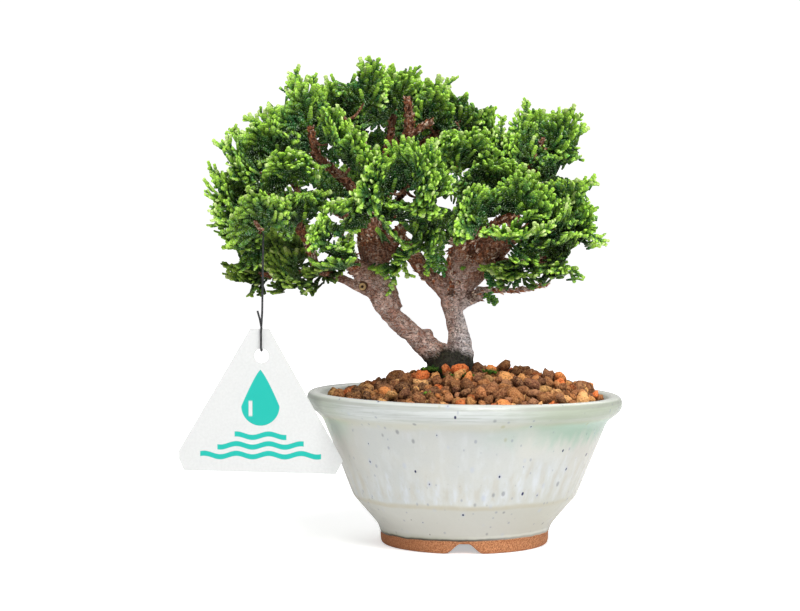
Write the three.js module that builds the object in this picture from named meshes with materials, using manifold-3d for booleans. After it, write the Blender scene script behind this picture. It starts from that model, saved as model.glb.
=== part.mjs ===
// A small hinoki cypress bonsai with two trunks, in its glazed stoneware pot.
// Millimetres, +Z up. The tree's front looks along -Y, and +X is to its right.
// It is modelled round the pot's own axis, standing on Z = 0. The last lines shift the group, so that
// the origin of the finished object is the middle of the bottom of its box.
import * as THREE from 'three';
import { mergeVertices } from 'three/addons/utils/BufferGeometryUtils.js';
import Module from 'manifold-3d';

const wasm = await Module();
wasm.setup();

// ---------------------------------------------------------------- driving dimensions
const GAP = 0.3;                  // air between pieces that touch
const POT_RIM_RADIUS = 75;        // the bowl measures 150 across its lip
const POT_HEIGHT = 72;
const FOOT_RADIUS = 40;
const FOOT_RECESS = 3.8;          // how far the underside is turned out inside the foot ring
const FLOOR_TOP = 9;              // inside of the bowl, above the table
const DRAIN_RADIUS = 6.5;
const ARCHES = 3;                 // the foot ring stands on three feet with an arch between each two
const ARCH_WIDTH = 17;
const ARCH_HEIGHT = 4.7;
const SOIL_RADIUS = 65.6;         // inner wall of the bowl at the soil's edge, less the gap
const SOIL_PEAK = 81;
const GRANULES = 38;
const TRUNK_X = -7;               // where the two trunks leave the soil
const TAG_Y = -38;                // plane that the paper tag hangs in
const TAG_THICKNESS = 0.9;
const WIRE_RADIUS = 0.5;
const BLADE = 1.3;                // thickness of a spray of scale leaves

const group = new THREE.Group();
const UP = new THREE.Vector3(0, 0, 1);

function vector([x, y, z]) {
  return new THREE.Vector3(x, y, z);
}

// Small seeded generator, so that every build grows the same tree.
function seeded(seed) {
  let state = seed >>> 0;
  return () => {
    state = (state + 0x6d2b79f5) >>> 0;
    let t = Math.imul(state ^ (state >>> 15), 1 | state);
    t = (t + Math.imul(t ^ (t >>> 7), 61 | t)) ^ t;
    return ((t ^ (t >>> 14)) >>> 0) / 4294967296;
  };
}

function between(random, low, high) {
  return low + (high - low) * random();
}

// ---------------------------------------------------------------- solids and meshes
// A closed three.js shape with its equal corners merged and its empty triangles dropped.
function welded(geometry) {
  const bare = geometry.clone();
  bare.deleteAttribute('normal');
  bare.deleteAttribute('uv');
  const merged = mergeVertices(bare, 1e-4);
  const index = merged.index.array;
  const triangles = [];
  for (let i = 0; i < index.length; i += 3) {
    const [a, b, c] = [index[i], index[i + 1], index[i + 2]];
    if (a !== b && b !== c && c !== a) triangles.push(a, b, c);
  }
  return merged.setIndex(triangles);
}

function solid(geometry) {
  return new wasm.Manifold(new wasm.Mesh({
    numProp: 3,
    vertProperties: new Float32Array(geometry.attributes.position.array),
    triVerts: new Uint32Array(geometry.index.array),
  }));
}

function union(solids) {
  return wasm.Manifold.union(solids);
}

// The largest body of a cut solid, without the scraps.
function mainBody(cut) {
  return cut.decompose().reduce((best, body) => (body.volume() > best.volume() ? body : best));
}

function addPiece(name, manifold, material) {
  const { vertProperties, triVerts, numProp } = manifold.getMesh();
  const positions = [];
  for (let i = 0; i < vertProperties.length; i += numProp) {
    positions.push(vertProperties[i], vertProperties[i + 1], vertProperties[i + 2]);
  }
  const geometry = new THREE.BufferGeometry();
  geometry.setAttribute('position', new THREE.Float32BufferAttribute(positions, 3));
  geometry.setIndex(Array.from(triVerts));
  geometry.computeVertexNormals();
  const mesh = new THREE.Mesh(geometry, material);
  mesh.name = name;
  group.add(mesh);
}

function finish(color, roughness, metalness = 0) {
  return new THREE.MeshStandardMaterial({ color, roughness, metalness, flatShading: true });
}

// A round, tapered limb: a cylinder bent along a smooth curve through points of [x, y, z, radius].
// `extra` makes it fatter all round, for the clear space that it needs.
function limb(points, { sides = 6, steps = points.length - 1, extra = 0, gnarl = 0, seed = 1 } = {}) {
  const random = seeded(seed);
  const curve = new THREE.CatmullRomCurve3(points.map(vector));
  const stations = [];
  let across = new THREE.Vector3(0, -1, 0.2);
  for (let i = 0; i <= steps; i++) {
    const t = i / steps;
    const along = curve.getTangent(t);
    across = across.clone().addScaledVector(along, -across.dot(along)).normalize();
    const at = t * (points.length - 1);
    const low = Math.min(Math.floor(at), points.length - 2);
    const radius = THREE.MathUtils.lerp(points[low][3], points[low + 1][3], at - low);
    const middle = curve.getPoint(t);
    if (i === 0) middle.addScaledVector(along, -extra);
    if (i === steps) middle.addScaledVector(along, extra);
    const bumps = Array.from({ length: sides }, () => between(random, -gnarl, gnarl));
    stations.push({ middle, across, side: along.clone().cross(across), radius, bumps });
  }
  const geometry = welded(new THREE.CylinderGeometry(1, 1, 1, sides, steps));
  const position = geometry.attributes.position;
  for (let i = 0; i < position.count; i++) {
    const [x, y, z] = [position.getX(i), position.getY(i), position.getZ(i)];
    const station = stations[Math.round((y + 0.5) * steps)];
    const turn = Math.atan2(x, z) / (2 * Math.PI) + 1;
    const bump = station.bumps[Math.round(turn * sides) % sides];
    const reach = station.radius * (1 + bump) + extra;
    const place = station.middle.clone()
      .addScaledVector(station.across, z * reach)
      .addScaledVector(station.side, x * reach);
    position.setXYZ(i, place.x, place.y, place.z);
  }
  return solid(geometry);
}

// ---------------------------------------------------------------- pot
// A thrown bowl: a turned foot with three arches, a soft ridge low on the wall, a narrow neck and a
// rolled lip. Its underside is recessed, and the floor has one drain hole.
const potProfile = [
  [35.5, 0], [FOOT_RADIUS - 1, 0], [FOOT_RADIUS, 1.2], [FOOT_RADIUS + 0.3, 5], [41.4, 8.9], [44.8, 13.2],
  [53, 23], [54.8, 26], [57.8, 34.4], [65.2, 53], [67.6, 58.8], [70.4, 62], [74.2, 64.6],
  [POT_RIM_RADIUS + 0.3, 67.8], [74.7, 70.8], [72.4, POT_HEIGHT], [68.8, 71.3], [66.3, 67.6],
  [52.5, 32], [35, FLOOR_TOP], [DRAIN_RADIUS, FLOOR_TOP], [DRAIN_RADIUS, FOOT_RECESS],
  [34, FOOT_RECESS],
];

function makePot() {
  const profile = [...potProfile, potProfile[0]].map(([r, z]) => new THREE.Vector2(r, z));
  const turned = welded(new THREE.LatheGeometry(profile, 36));
  let pot = solid(turned.rotateX(Math.PI / 2));
  const arch = new THREE.Shape();
  arch.moveTo(-ARCH_WIDTH / 2, -1);
  arch.lineTo(ARCH_WIDTH / 2, -1);
  arch.lineTo(ARCH_WIDTH / 2, 0);
  arch.absellipse(0, 0, ARCH_WIDTH / 2 - 1, ARCH_HEIGHT, 0, Math.PI, false, 0);
  arch.lineTo(-ARCH_WIDTH / 2, 0);
  for (let i = 0; i < ARCHES; i++) {
    const tunnel = new THREE.ExtrudeGeometry(arch, { depth: 14, bevelEnabled: false, curveSegments: 6 });
    tunnel.translate(0, 0, FOOT_RADIUS - 12);
    tunnel.rotateX(Math.PI / 2);
    tunnel.rotateZ((i * 2 * Math.PI) / ARCHES);
    pot = pot.subtract(solid(welded(tunnel)));
  }
  return pot;
}

// ---------------------------------------------------------------- drain screen
// A slotted plastic disc over the drain hole, which keeps the granules in.
const SCREEN_RADIUS = 15;
const SCREEN_THICKNESS = 0.9;
const SCREEN_Z = FLOOR_TOP + GAP;

function makeScreen() {
  const disc = new THREE.Shape().absarc(0, 0, SCREEN_RADIUS, 0, 2 * Math.PI);
  for (let i = -1.5; i <= 1.5; i++) {
    const slot = new THREE.Path();
    slot.moveTo(-4.5, i * 3 - 0.8);
    slot.lineTo(-4.5, i * 3 + 0.8);
    slot.lineTo(4.5, i * 3 + 0.8);
    slot.lineTo(4.5, i * 3 - 0.8);
    slot.closePath();
    disc.holes.push(slot);
  }
  const plate = new THREE.ExtrudeGeometry(disc,
    { depth: SCREEN_THICKNESS, bevelEnabled: false, curveSegments: 10 });
  return solid(welded(plate).translate(0, 0, SCREEN_Z));
}

// ---------------------------------------------------------------- wood: trunks, branches and twigs
// Limbs as points of [x, y, z, radius]. The two trunks part at the soil. Each branch starts inside
// the limb that carries it.
const limbs = {
  root_flare: [[-7, 0, 64, 9], [-7, 0, 76, 11], [-7, 0, 84, 10.6], [-6, 0, 91, 7]],
  left_trunk: [[-6, 0, 70, 5.2], [-9, 0, 85, 6.6], [-16, -1, 92, 6.1], [-23, -2, 98, 5.4],
    [-30, -3, 104, 5.2], [-36, -4, 111, 5.3], [-40, -4, 119, 6.1], [-41, -4, 127, 5.6],
    [-41, -2, 136, 5], [-41, 2, 145, 3.8]],
  right_trunk: [[-4, 1, 70, 5.6], [-3, 1, 86, 7], [-3.5, 1, 93, 6], [-5, 0, 101, 5.4], [-6.5, 0, 109, 5.3],
    [-7, 0, 116, 5.8], [-6, 0, 123, 6.2]],
  left_leader: [[-41, 2, 144, 3.6], [-40, 5, 156, 2.9], [-40, 6, 168, 2.4], [-38, 3, 180, 2.1],
    [-36, 0, 192, 1.8], [-34, -2, 205, 1.2]],
  low_left: [[-42, -4, 119, 2.6], [-50, -6, 122, 2.3], [-57, -8, 126, 2.2], [-63, -10, 128, 2.1],
    [-69, -12, 131, 2.2], [-72, -14, 137, 2.2], [-74, -15, 144, 2.1], [-79, -18, 151, 1.8],
    [-88, -22, 155, 1.5], [-99, -26, 157, 1]],
  tag_twig: [[-86, -21, 154, 1.4], [-91, -29, 154, 1.2], [-94.5, -38, 153, 1], [-96, -46, 153, 0.8]],
  low_left_tip: [[-68, -12, 130, 1.6], [-78, -8, 129, 1.3], [-88, -4, 127, 1.1], [-99, 0, 129, 0.9]],
  left_stub: [[-41, -4, 124, 3.6], [-47, -9, 129, 3.5], [-51, -14, 133, 3.2], [-54, -20, 136, 2.4],
    [-55, -26, 140, 1.4]],
  left_upper: [[-41, 4, 151, 2.8], [-48, -6, 159, 2.6], [-53, -12, 169, 2.4], [-61, -16, 177, 2.1],
    [-69, -19, 184, 1.9], [-71, -20, 191, 1.5], [-72, -20, 198, 1]],
  left_middle: [[-77, -17, 149, 1.5], [-77, -17, 160, 1.4], [-80, -19, 170, 1.3], [-90, -22, 181, 0.9]],
  left_back: [[-41, 2, 144, 2.6], [-51, 15, 151, 2.2], [-61, 25, 158, 2], [-74, 32, 163, 1.6],
    [-89, 36, 168, 1.3], [-103, 34, 170, 0.9]],
  left_top_back: [[-40, 5, 158, 2.2], [-44, 20, 170, 1.9], [-49, 32, 181, 1.6], [-56, 40, 191, 1.3],
    [-63, 40, 200, 0.9]],
  left_front: [[-41, 2, 144, 2.4], [-38, -10, 151, 2.2], [-34, -22, 157, 1.9], [-30, -33, 164, 1.5],
    [-25, -42, 171, 1]],
  top_right: [[-39, 4, 177, 2.1], [-31, 5, 185, 1.9], [-21, 5, 191, 1.6], [-11, 3, 197, 1.3], [0, 2, 202, 1]],
  top_left: [[-39, 4, 175, 1.9], [-45, -4, 186, 1.6], [-51, -11, 194, 1.3], [-57, -16, 203, 0.9]],
  centre_back: [[-40, 5, 160, 1.9], [-35, 20, 170, 1.6], [-30, 33, 180, 1.3], [-27, 40, 190, 0.9]],
  right_to_left: [[-7, 0, 120, 3.4], [-13, -3, 126, 2.8], [-19, -5, 133, 2.5], [-24, -6, 139, 2.2],
    [-29, -6, 145, 1.7], [-32, -6, 151, 1.2]],
  right_leader: [[-6, 0, 122, 4.6], [-4, -1, 131, 3.8], [-2, -3, 138, 3.4], [0, -4, 146, 2.8],
    [3, -4, 155, 2.2], [7, -3, 164, 1.8], [11, -1, 175, 1.4], [14, 1, 185, 1]],
  right_main: [[-5, 1, 121, 5], [3, 2, 125, 4.2], [9, 3, 130, 3.8], [14, 4, 135, 3.3], [19, 4, 141, 2.8],
    [26, 3, 147, 2.2], [34, 2, 153, 1.7], [46, 0, 158, 1.1]],
  right_lowest: [[6, -2, 121, 1.8], [15, -6, 121, 1.4], [24, -8, 121, 1.2], [31, -9, 122, 1],
    [40, -9, 124, 0.7]],
  right_upper: [[19, 4, 140, 2.4], [23, 6, 151, 2.1], [27, 6, 164, 1.8], [31, 4, 176, 1.5], [34, 2, 186, 1.2],
    [38, 0, 194, 0.9]],
  right_front: [[-1, -3, 141, 2.4], [4, -12, 146, 2], [9, -22, 150, 1.6], [16, -30, 153, 1.2],
    [24, -34, 155, 0.9]],
  right_low: [[15, 4, 135, 2.2], [22, -3, 134, 1.8], [30, -8, 134, 1.4], [39, -11, 136, 1]],
  right_back: [[-2, -3, 138, 2.4], [4, 14, 144, 2.1], [12, 28, 151, 1.8], [22, 36, 158, 1.4],
    [33, 38, 163, 1]],
  right_back_low: [[11, 26, 150, 1.6], [20, 35, 146, 1.3], [30, 38, 144, 1]],
  cut_stub: [[-2, 0, 114, 4], [4, -2, 117.5, 3.2], [9, -4, 118.5, 2.4]],
};

// Trunks and the flare are rounder and more gnarled than the branches.
const limbForm = {
  root_flare: { sides: 10, steps: 3, gnarl: 0.06, seed: 5 },
  left_trunk: { sides: 8, steps: 10, gnarl: 0.09, seed: 11 },
  right_trunk: { sides: 8, steps: 7, gnarl: 0.08, seed: 12 },
  left_leader: { sides: 5 },
  right_leader: { sides: 6, gnarl: 0.06 },
  right_main: { sides: 6, gnarl: 0.08 },
  left_stub: { sides: 6, gnarl: 0.08 },
  low_left: { sides: 5, gnarl: 0.08 },
  right_to_left: { sides: 5 },
  cut_stub: { sides: 6, gnarl: 0.12, seed: 7 },
};

function growLimb(name, extra = 0) {
  const steps = Math.ceil(0.6 * (limbs[name].length - 1));
  return limb(limbs[name], { sides: 4, steps, ...limbForm[name], extra });
}

// ---------------------------------------------------------------- sprays
// Middles of the foliage sprays, as [x, y, z, reach], under the limb that each one grows from.
const sprays = {
  left_stub: [[-56, -40, 139, 24], [-59, -42, 154, 20]],
  low_left: [[-110, -25, 163, 24], [-107, -18, 146, 22], [-79, -36, 161, 22]],
  tag_twig: [[-95, -46, 158, 22]],
  low_left_tip: [[-104, 4, 132, 21], [-85, -16, 127, 19], [-67, -18, 128, 18], [-91, 6, 140, 22]],
  left_middle: [[-106, -20, 181, 24], [-94, -18, 192, 22], [-83, -34, 178, 20]],
  left_upper: [[-77, -20, 208, 24], [-62, -32, 197, 20], [-52, -38, 185, 20]],
  top_left: [[-61, -12, 210, 22], [-45, -14, 219, 23]],
  left_leader: [[-30, -10, 216, 22]],
  top_right: [[-15, -10, 209, 22], [-4, 0, 208, 22], [8, 2, 196, 22], [-7, -26, 186, 22]],
  left_front: [[-37, -48, 175, 24], [-20, -52, 177, 24], [-34, -44, 158, 22], [-12, -40, 166, 22]],
  left_back: [[-112, 38, 167, 24], [-90, 42, 153, 24], [-67, 46, 175, 24]],
  left_top_back: [[-82, 34, 201, 24], [-64, 38, 207, 24]],
  centre_back: [[-40, 35, 214, 24], [-20, 38, 204, 24], [-45, 49, 191, 24]],
  right_to_left: [[-34, -17, 135, 16], [-18, -22, 149, 20]],
  right_leader: [[10, -22, 177, 22], [13, 20, 188, 22]],
  right_front: [[4, -38, 160, 22], [22, -42, 145, 24], [24, -36, 164, 24]],
  right_upper: [[29, -5, 194, 24], [45, 3, 197, 23], [46, 6, 182, 22]],
  right_main: [[51, -8, 164, 26], [56, -4, 149, 26], [41, -30, 150, 26]],
  right_low: [[50, -18, 135, 24], [22, -20, 128, 20]],
  right_back: [[-7, 39, 159, 24], [26, 42, 174, 24], [46, 38, 165, 24]],
  right_back_low: [[43, 36, 143, 24]],
};
const CROWN_LEFT = new THREE.Vector3(-48, 0, 165);
const CROWN_RIGHT = new THREE.Vector3(24, 0, 158);
const FINGER_SHARE = 0.058;       // half the width of a finger of scale leaves, to the spray's length
const BLADE_BACK = 1.5;           // how far a spray's blade reaches behind its root
const ROOT_ROOM = 13;             // least distance between the hearts of two sprays
const SPRAY_AIR = 0.25;           // air between a spray and the plane halfway to its neighbour

// Where a limb passes nearest to a point, a little back towards its foot.
function budOn(points, target) {
  const curve = new THREE.CatmullRomCurve3(points.map(vector));
  let best = 0;
  for (let i = 0; i <= 40; i++) {
    const nearer = curve.getPoint(i / 40).distanceTo(target) < curve.getPoint(best).distanceTo(target);
    if (nearer) best = i / 40;
  }
  return curve.getPoint(Math.max(0.12, best - 0.08));
}

// Each spray: its bud on the limb, its root, the way that it grows, and the side that it shows.
const plans = Object.entries(sprays).flatMap(([limbName, list]) => list.map(([x, y, z, size], i) => {
  const reach = 1.12 * size;
  const middle = new THREE.Vector3(x, y, z);
  const bud = budOn(limbs[limbName], middle);
  const crown = x < -10 ? CROWN_LEFT : CROWN_RIGHT;
  const outward = middle.clone().sub(crown).normalize();
  const grow = middle.clone().sub(bud).normalize().multiplyScalar(0.5)
    .addScaledVector(outward, 0.5)
    .addScaledVector(UP, 0.3);
  grow.y *= 0.4;
  grow.normalize();
  const root = middle.clone().addScaledVector(grow, -0.5 * reach);
  const heart = middle.clone().addScaledVector(grow, -0.3 * reach);
  const face = new THREE.Vector3(0.6 * outward.x, outward.y < 0.15 ? -0.8 : 0.8, 0.7);
  face.addScaledVector(grow, -face.dot(grow)).normalize();
  const across = face.clone().cross(grow);
  return { name: `spray_${limbName}_${i + 1}`, reach, bud, grow, root, heart, face, across };
}));

// Crowded sprays are eased apart, so that each has room for its own root.
for (let round = 0; round < 30; round++) {
  plans.forEach((one, i) => plans.slice(i + 1).forEach((other) => {
    const apart = other.heart.clone().sub(one.heart);
    const missing = ROOT_ROOM - apart.length();
    if (missing <= 0) return;
    apart.setLength(missing / 4);
    one.root.sub(apart);
    one.heart.sub(apart);
    other.root.add(apart);
    other.heart.add(apart);
  }));
}

// One blunt finger of scale leaves: its foot on the rib, and the two corners of its tip.
function finger([u, v], angle, reach, half) {
  const [du, dv] = [Math.cos(angle), Math.sin(angle)];
  return [
    [u, v],
    [u + du * reach - dv * half, v + dv * reach + du * half],
    [u + du * reach + dv * half, v + dv * reach - du * half],
  ];
}

// Left half of a spray's outline, from its root to the tip of its rib. A side rib leaves the main
// rib low down, with two fingers on its outer edge and one on its inner edge.
function halfOutline(length, random) {
  const degrees = THREE.MathUtils.degToRad;
  const half = FINGER_SHARE * length;
  const lean = degrees(between(random, 54, 62));
  const [du, dv] = [Math.cos(lean), Math.sin(lean)];
  const onSideRib = (along, out) => [
    length * (0.12 + along * du) - out * dv,
    length * along * dv + out * du + 0.8,
  ];
  const points = [[-BLADE_BACK, 1]];
  const outerTurn = lean + degrees(between(random, 42, 46));
  for (const [along, share] of [[0.1, 0.36], [0.44, 0.3]]) {
    const reach = length * share * between(random, 0.88, 1.1);
    points.push(...finger(onSideRib(along, 0.8), outerTurn, reach, half));
  }
  const sideTip = between(random, 0.7, 0.82);
  points.push(onSideRib(sideTip, 1.4), onSideRib(sideTip, -1.4));
  const innerTurn = lean - degrees(between(random, 34, 38));
  const innerReach = length * between(random, 0.22, 0.28);
  const [, outerCorner, innerCorner] = finger(onSideRib(0.48, -0.8), innerTurn, innerReach, half);
  points.push(onSideRib(0.6, -0.9), outerCorner, innerCorner, onSideRib(0.28, -0.8));
  for (const [along, angle, share] of [[0.36, 43, 0.32], [0.6, 38, 0.26]]) {
    const turned = degrees(angle + between(random, -2, 2));
    const reach = length * share * between(random, 0.9, 1.1);
    points.push(...finger([length * along, 0.9], turned, reach, half));
  }
  points.push([length * 0.84, 0.8], [length, 1.5]);
  return points;
}

// The planes halfway to the other sprays, as seen from this one's root: how far off each plane is,
// and how fast it comes nearer along the spray, across it, and off its face.
function wallsOf(plan) {
  return plans.filter((other) => other !== plan).map((other) => {
    const away = other.heart.clone().sub(plan.heart);
    const normal = away.clone().normalize();
    const rootToPlane = away.length() / 2 - normal.dot(plan.root.clone().sub(plan.heart));
    const rise = normal.dot(plan.face);
    return {
      along: normal.dot(plan.grow),
      aside: normal.dot(plan.across),
      rise,
      offset: rootToPlane - 0.5 * BLADE * Math.abs(rise) - SPRAY_AIR,
    };
  });
}

// A spray keeps to its own side of those planes. Points of its outline that would pass one are drawn
// in towards its root, the more the further out they are.
function drawIn([u, v], walls) {
  const far = Math.hypot(u, v);
  let room = Infinity;
  for (const { along, aside, offset } of walls) {
    const speed = (along * u + aside * v) / far;
    if (speed > 1e-6) room = Math.min(room, offset / speed);
  }
  const free = 0.6 * room;
  if (far <= free) return [u, v];
  const kept = free + (room - free) * (1 - Math.exp(-(far - free) / (room - free)));
  return [(u * kept) / far, (v * kept) / far];
}

// One spray as a thin blade: its sides cup, and its fingers rise and dip in turn. Both of its faces
// are the same surface, a blade's thickness apart.
function blade(plan, number) {
  const random = seeded(1000 + number);
  const walls = wallsOf(plan);
  const left = halfOutline(plan.reach, random);
  const right = halfOutline(plan.reach, random).map(([u, v]) => [u, -v]).reverse();
  const outline = [...left, ...right].map((point) => new THREE.Vector2(...drawIn(point, walls)));
  const geometry = welded(new THREE.ExtrudeGeometry(new THREE.Shape(outline),
    { depth: BLADE, bevelEnabled: false, steps: 1 }));
  const phases = [between(random, 0, 6.3), between(random, 0, 6.3)];
  const cup = between(random, 0.15, 0.4);
  const tilt = between(random, -0.35, 0.35);
  const position = geometry.attributes.position;
  for (let i = 0; i < position.count; i++) {
    const [u, v, w] = [position.getX(i), position.getY(i), position.getZ(i)];
    const ruffle = 3 * Math.sin(0.45 * u + phases[0]) * Math.sin(0.5 * v + phases[1]);
    let lift = (cup * (u * u + v * v)) / plan.reach + tilt * v + ruffle * Math.min(1, Math.hypot(u, v) / 8);
    for (const { along, aside, rise, offset } of walls) {
      const most = (offset - along * u - aside * v) / rise;
      lift = rise > 0 ? Math.min(lift, most) : Math.max(lift, most);
    }
    const place = plan.root.clone()
      .addScaledVector(plan.grow, u)
      .addScaledVector(plan.across, v)
      .addScaledVector(plan.face, w - BLADE / 2 + lift);
    position.setXYZ(i, place.x, place.y, place.z);
  }
  return geometry;
}

// The twig that carries a spray runs from the limb almost to the spray's root.
function twigTo(plan, extra = 0) {
  const end = plan.root.clone().addScaledVector(plan.grow, -(BLADE_BACK + GAP + 0.1));
  return limb([[...plan.bud.toArray(), 1], [...end.toArray(), 0.8]], { sides: 3, extra });
}

function makeSpray(plan, number, keepOut) {
  return mainBody(solid(blade(plan, number)).subtract(keepOut));
}

// ---------------------------------------------------------------- soil
// A mound of baked clay granules that fills the bowl. The larger granules stand out of its top, and
// the trunks' foot goes down into a hole in it.
const soilProfile = [
  [0, SCREEN_Z + SCREEN_THICKNESS + GAP], [SCREEN_RADIUS + 1, SCREEN_Z + SCREEN_THICKNESS + GAP],
  [SCREEN_RADIUS + 1, FLOOR_TOP + GAP], [34.7, FLOOR_TOP + GAP], [52, 31.9],
  [SOIL_RADIUS, 67.4], [62, 70], [50, 72.8], [30, 77.2], [0, SOIL_PEAK],
];

function soilTop(radius) {
  const top = soilProfile.slice(5);
  for (let i = 1; i < top.length; i++) {
    const [[outer, low], [inner, high]] = [top[i - 1], top[i]];
    if (radius >= inner) return THREE.MathUtils.lerp(high, low, (radius - inner) / (outer - inner));
  }
  return SOIL_PEAK;
}

function makeSoil() {
  const profile = soilProfile.map(([r, z]) => new THREE.Vector2(r, z));
  const turned = welded(new THREE.LatheGeometry(profile, 18));
  const mound = solid(turned.rotateX(Math.PI / 2));
  const random = seeded(77);
  const goldenAngle = Math.PI * (3 - Math.sqrt(5));
  const granules = [];
  for (let i = 0; i < GRANULES; i++) {
    const radius = 58 * Math.sqrt((i + 0.6) / GRANULES);
    const angle = i * goldenAngle;
    const [x, y] = [radius * Math.cos(angle), radius * Math.sin(angle)];
    const size = new THREE.Vector3(
      between(random, 5.4, 7), between(random, 5, 6.2), between(random, 3.8, 4.8));
    const turn = new THREE.Quaternion().setFromEuler(
      new THREE.Euler(between(random, -0.6, 0.6), between(random, -0.6, 0.6), between(random, 0, 6.3)));
    const place = new THREE.Matrix4().compose(new THREE.Vector3(x, y, soilTop(radius) + 0.4), turn, size);
    if (Math.hypot(x - TRUNK_X, y) < 13) continue;
    granules.push(solid(welded(new THREE.IcosahedronGeometry(1, 0)).applyMatrix4(place)));
  }
  const foot = union(['root_flare', 'left_trunk', 'right_trunk'].map((name) => growLimb(name, GAP + 0.05)));
  return mainBody(union([mound, ...granules]).subtract(foot));
}

// ---------------------------------------------------------------- tag and its wire
// A plain paper tag hangs by a black wire, which is hooked over a twig and closed through its hole.
const TAG_HOLE = [-93.5, 91.3];
const TAG_HOLE_RADIUS = 3.4;
const tagOutline = [
  [-98.7, 103.7], [-131.9, 47.3], [-131.9, 43.6], [-129.5, 38.3], [-59.2, 36.7], [-56, 42.7],
  [-57.1, 45], [-90, 103.7],
];

function makeTag() {
  const shape = new THREE.Shape(tagOutline.map(([x, z]) => new THREE.Vector2(x, z)));
  shape.holes.push(new THREE.Path().absarc(...TAG_HOLE, TAG_HOLE_RADIUS, 0, 2 * Math.PI));
  const card = new THREE.ExtrudeGeometry(shape,
    { depth: TAG_THICKNESS, bevelEnabled: false, curveSegments: 8 });
  card.rotateX(Math.PI / 2);
  return solid(welded(card).translate(0, TAG_Y + TAG_THICKNESS / 2, 0));
}

function makeWire() {
  const [twigX, twigZ, bendRadius] = [-94.5, 153, 1.95];
  const points = [];
  points.push([twigX - bendRadius - 0.3, TAG_Y, twigZ - 4]);
  for (let i = 0; i <= 6; i++) {
    const angle = Math.PI * (1 - i / 6);
    points.push([twigX + bendRadius * Math.cos(angle), TAG_Y, twigZ + bendRadius * Math.sin(angle)]);
  }
  const [holeX, holeZ] = [TAG_HOLE[0], TAG_HOLE[1] + TAG_HOLE_RADIUS - 1.1];
  points.push([-92.5, TAG_Y, 149], [-92.8, TAG_Y, 130], [-93.1, TAG_Y, 112], [holeX + 0.2, TAG_Y - 0.6, 107]);
  const loop = 1.55;
  points.push([holeX, TAG_Y - loop, 103], [holeX, TAG_Y - loop, holeZ + 1.6]);
  for (let i = 1; i <= 5; i++) {
    const angle = Math.PI * (1 + i / 6);
    points.push([holeX, TAG_Y + loop * Math.cos(angle), holeZ + 1.6 + loop * Math.sin(angle)]);
  }
  points.push([holeX, TAG_Y + loop, holeZ + 1.6], [holeX, TAG_Y + loop, 103]);
  points.push([holeX - 0.9, TAG_Y + loop, 108], [holeX - 2, TAG_Y + loop - 0.3, 112]);
  return limb(points.map((point) => [...point, WIRE_RADIUS]), { sides: 5 });
}

// ---------------------------------------------------------------- assembly
const glaze = finish(0xd7dcd7, 0.25);
const plastic = finish(0x2d2f2e, 0.6);
const clay = finish(0x7a5236, 0.95);
const bark = finish(0x8c6a5e, 0.9);
const card = finish(0xf4f6f4, 0.7);
const blackWire = finish(0x232325, 0.45, 0.3);
const greens = [0x3f8a2c, 0x4f9a32, 0x357a2b].map((color) => finish(color, 0.6));

// All limbs and twigs joined, grown by the given amount all round.
function growTree(extra) {
  return union([
    ...Object.keys(limbs).map((name) => growLimb(name, extra)),
    ...plans.map((plan) => twigTo(plan, extra)),
  ]);
}

const wood = mainBody(growTree(0));
const keepOut = growTree(GAP);

addPiece('pot', makePot(), glaze);
addPiece('drain_screen', makeScreen(), plastic);
addPiece('soil', makeSoil(), clay);
addPiece('tree_wood', wood, bark);
plans.forEach((plan, i) => addPiece(plan.name, makeSpray(plan, i, keepOut), greens[i % greens.length]));
addPiece('hang_tag', makeTag(), card);
addPiece('tag_wire', makeWire(), blackWire);

// The origin goes to the middle of the bottom of the whole object's box.
const box = new THREE.Box3().setFromObject(group);
const centre = box.getCenter(new THREE.Vector3());
group.position.set(-centre.x, -centre.y, -box.min.z);

export default group;
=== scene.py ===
"""A small hinoki cypress bonsai with two trunks, in a glazed stoneware bowl of clay granules."""
import math

import bmesh
import bpy
import numpy as np
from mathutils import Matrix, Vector, kdtree


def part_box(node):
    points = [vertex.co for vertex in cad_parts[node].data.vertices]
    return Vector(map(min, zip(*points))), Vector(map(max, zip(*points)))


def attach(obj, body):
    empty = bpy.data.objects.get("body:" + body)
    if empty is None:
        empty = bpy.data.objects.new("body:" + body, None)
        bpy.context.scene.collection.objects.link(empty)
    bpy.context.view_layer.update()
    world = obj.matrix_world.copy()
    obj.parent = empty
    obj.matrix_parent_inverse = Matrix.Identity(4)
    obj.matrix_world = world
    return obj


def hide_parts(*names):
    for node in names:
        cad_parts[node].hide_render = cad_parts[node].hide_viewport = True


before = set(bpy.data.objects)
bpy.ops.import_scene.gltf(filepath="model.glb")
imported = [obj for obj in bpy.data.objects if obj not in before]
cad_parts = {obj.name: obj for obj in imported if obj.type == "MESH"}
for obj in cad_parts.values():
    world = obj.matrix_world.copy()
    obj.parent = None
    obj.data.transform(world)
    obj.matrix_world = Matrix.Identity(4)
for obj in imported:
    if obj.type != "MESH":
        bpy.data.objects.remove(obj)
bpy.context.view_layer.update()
bpy.ops.object.select_all(action="DESELECT")

# ---------------------------------------------------------------- camera
# The camera stands 0.9 m in front of the bowl, level with the lowest branches. It is turned a little
# to the left and looks slightly down.
MM = 0.001
pot_low, pot_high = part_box("pot")
POT_X = (pot_low.x + pot_high.x) / 2
CAMERA_DISTANCE, CAMERA_HEIGHT = 900 * MM, 142 * MM
CAMERA_TILT, CAMERA_TURN = 88.178, 1.967

camera_data = bpy.data.cameras.new("camera")
camera_data.sensor_width = 36
camera_data.lens = 84.51
camera = bpy.data.objects.new("camera", camera_data)
bpy.context.scene.collection.objects.link(camera)
camera.location = (POT_X, -CAMERA_DISTANCE, CAMERA_HEIGHT)
camera.rotation_euler = (math.radians(CAMERA_TILT), 0, math.radians(CAMERA_TURN))
bpy.context.scene.camera = camera

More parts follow.
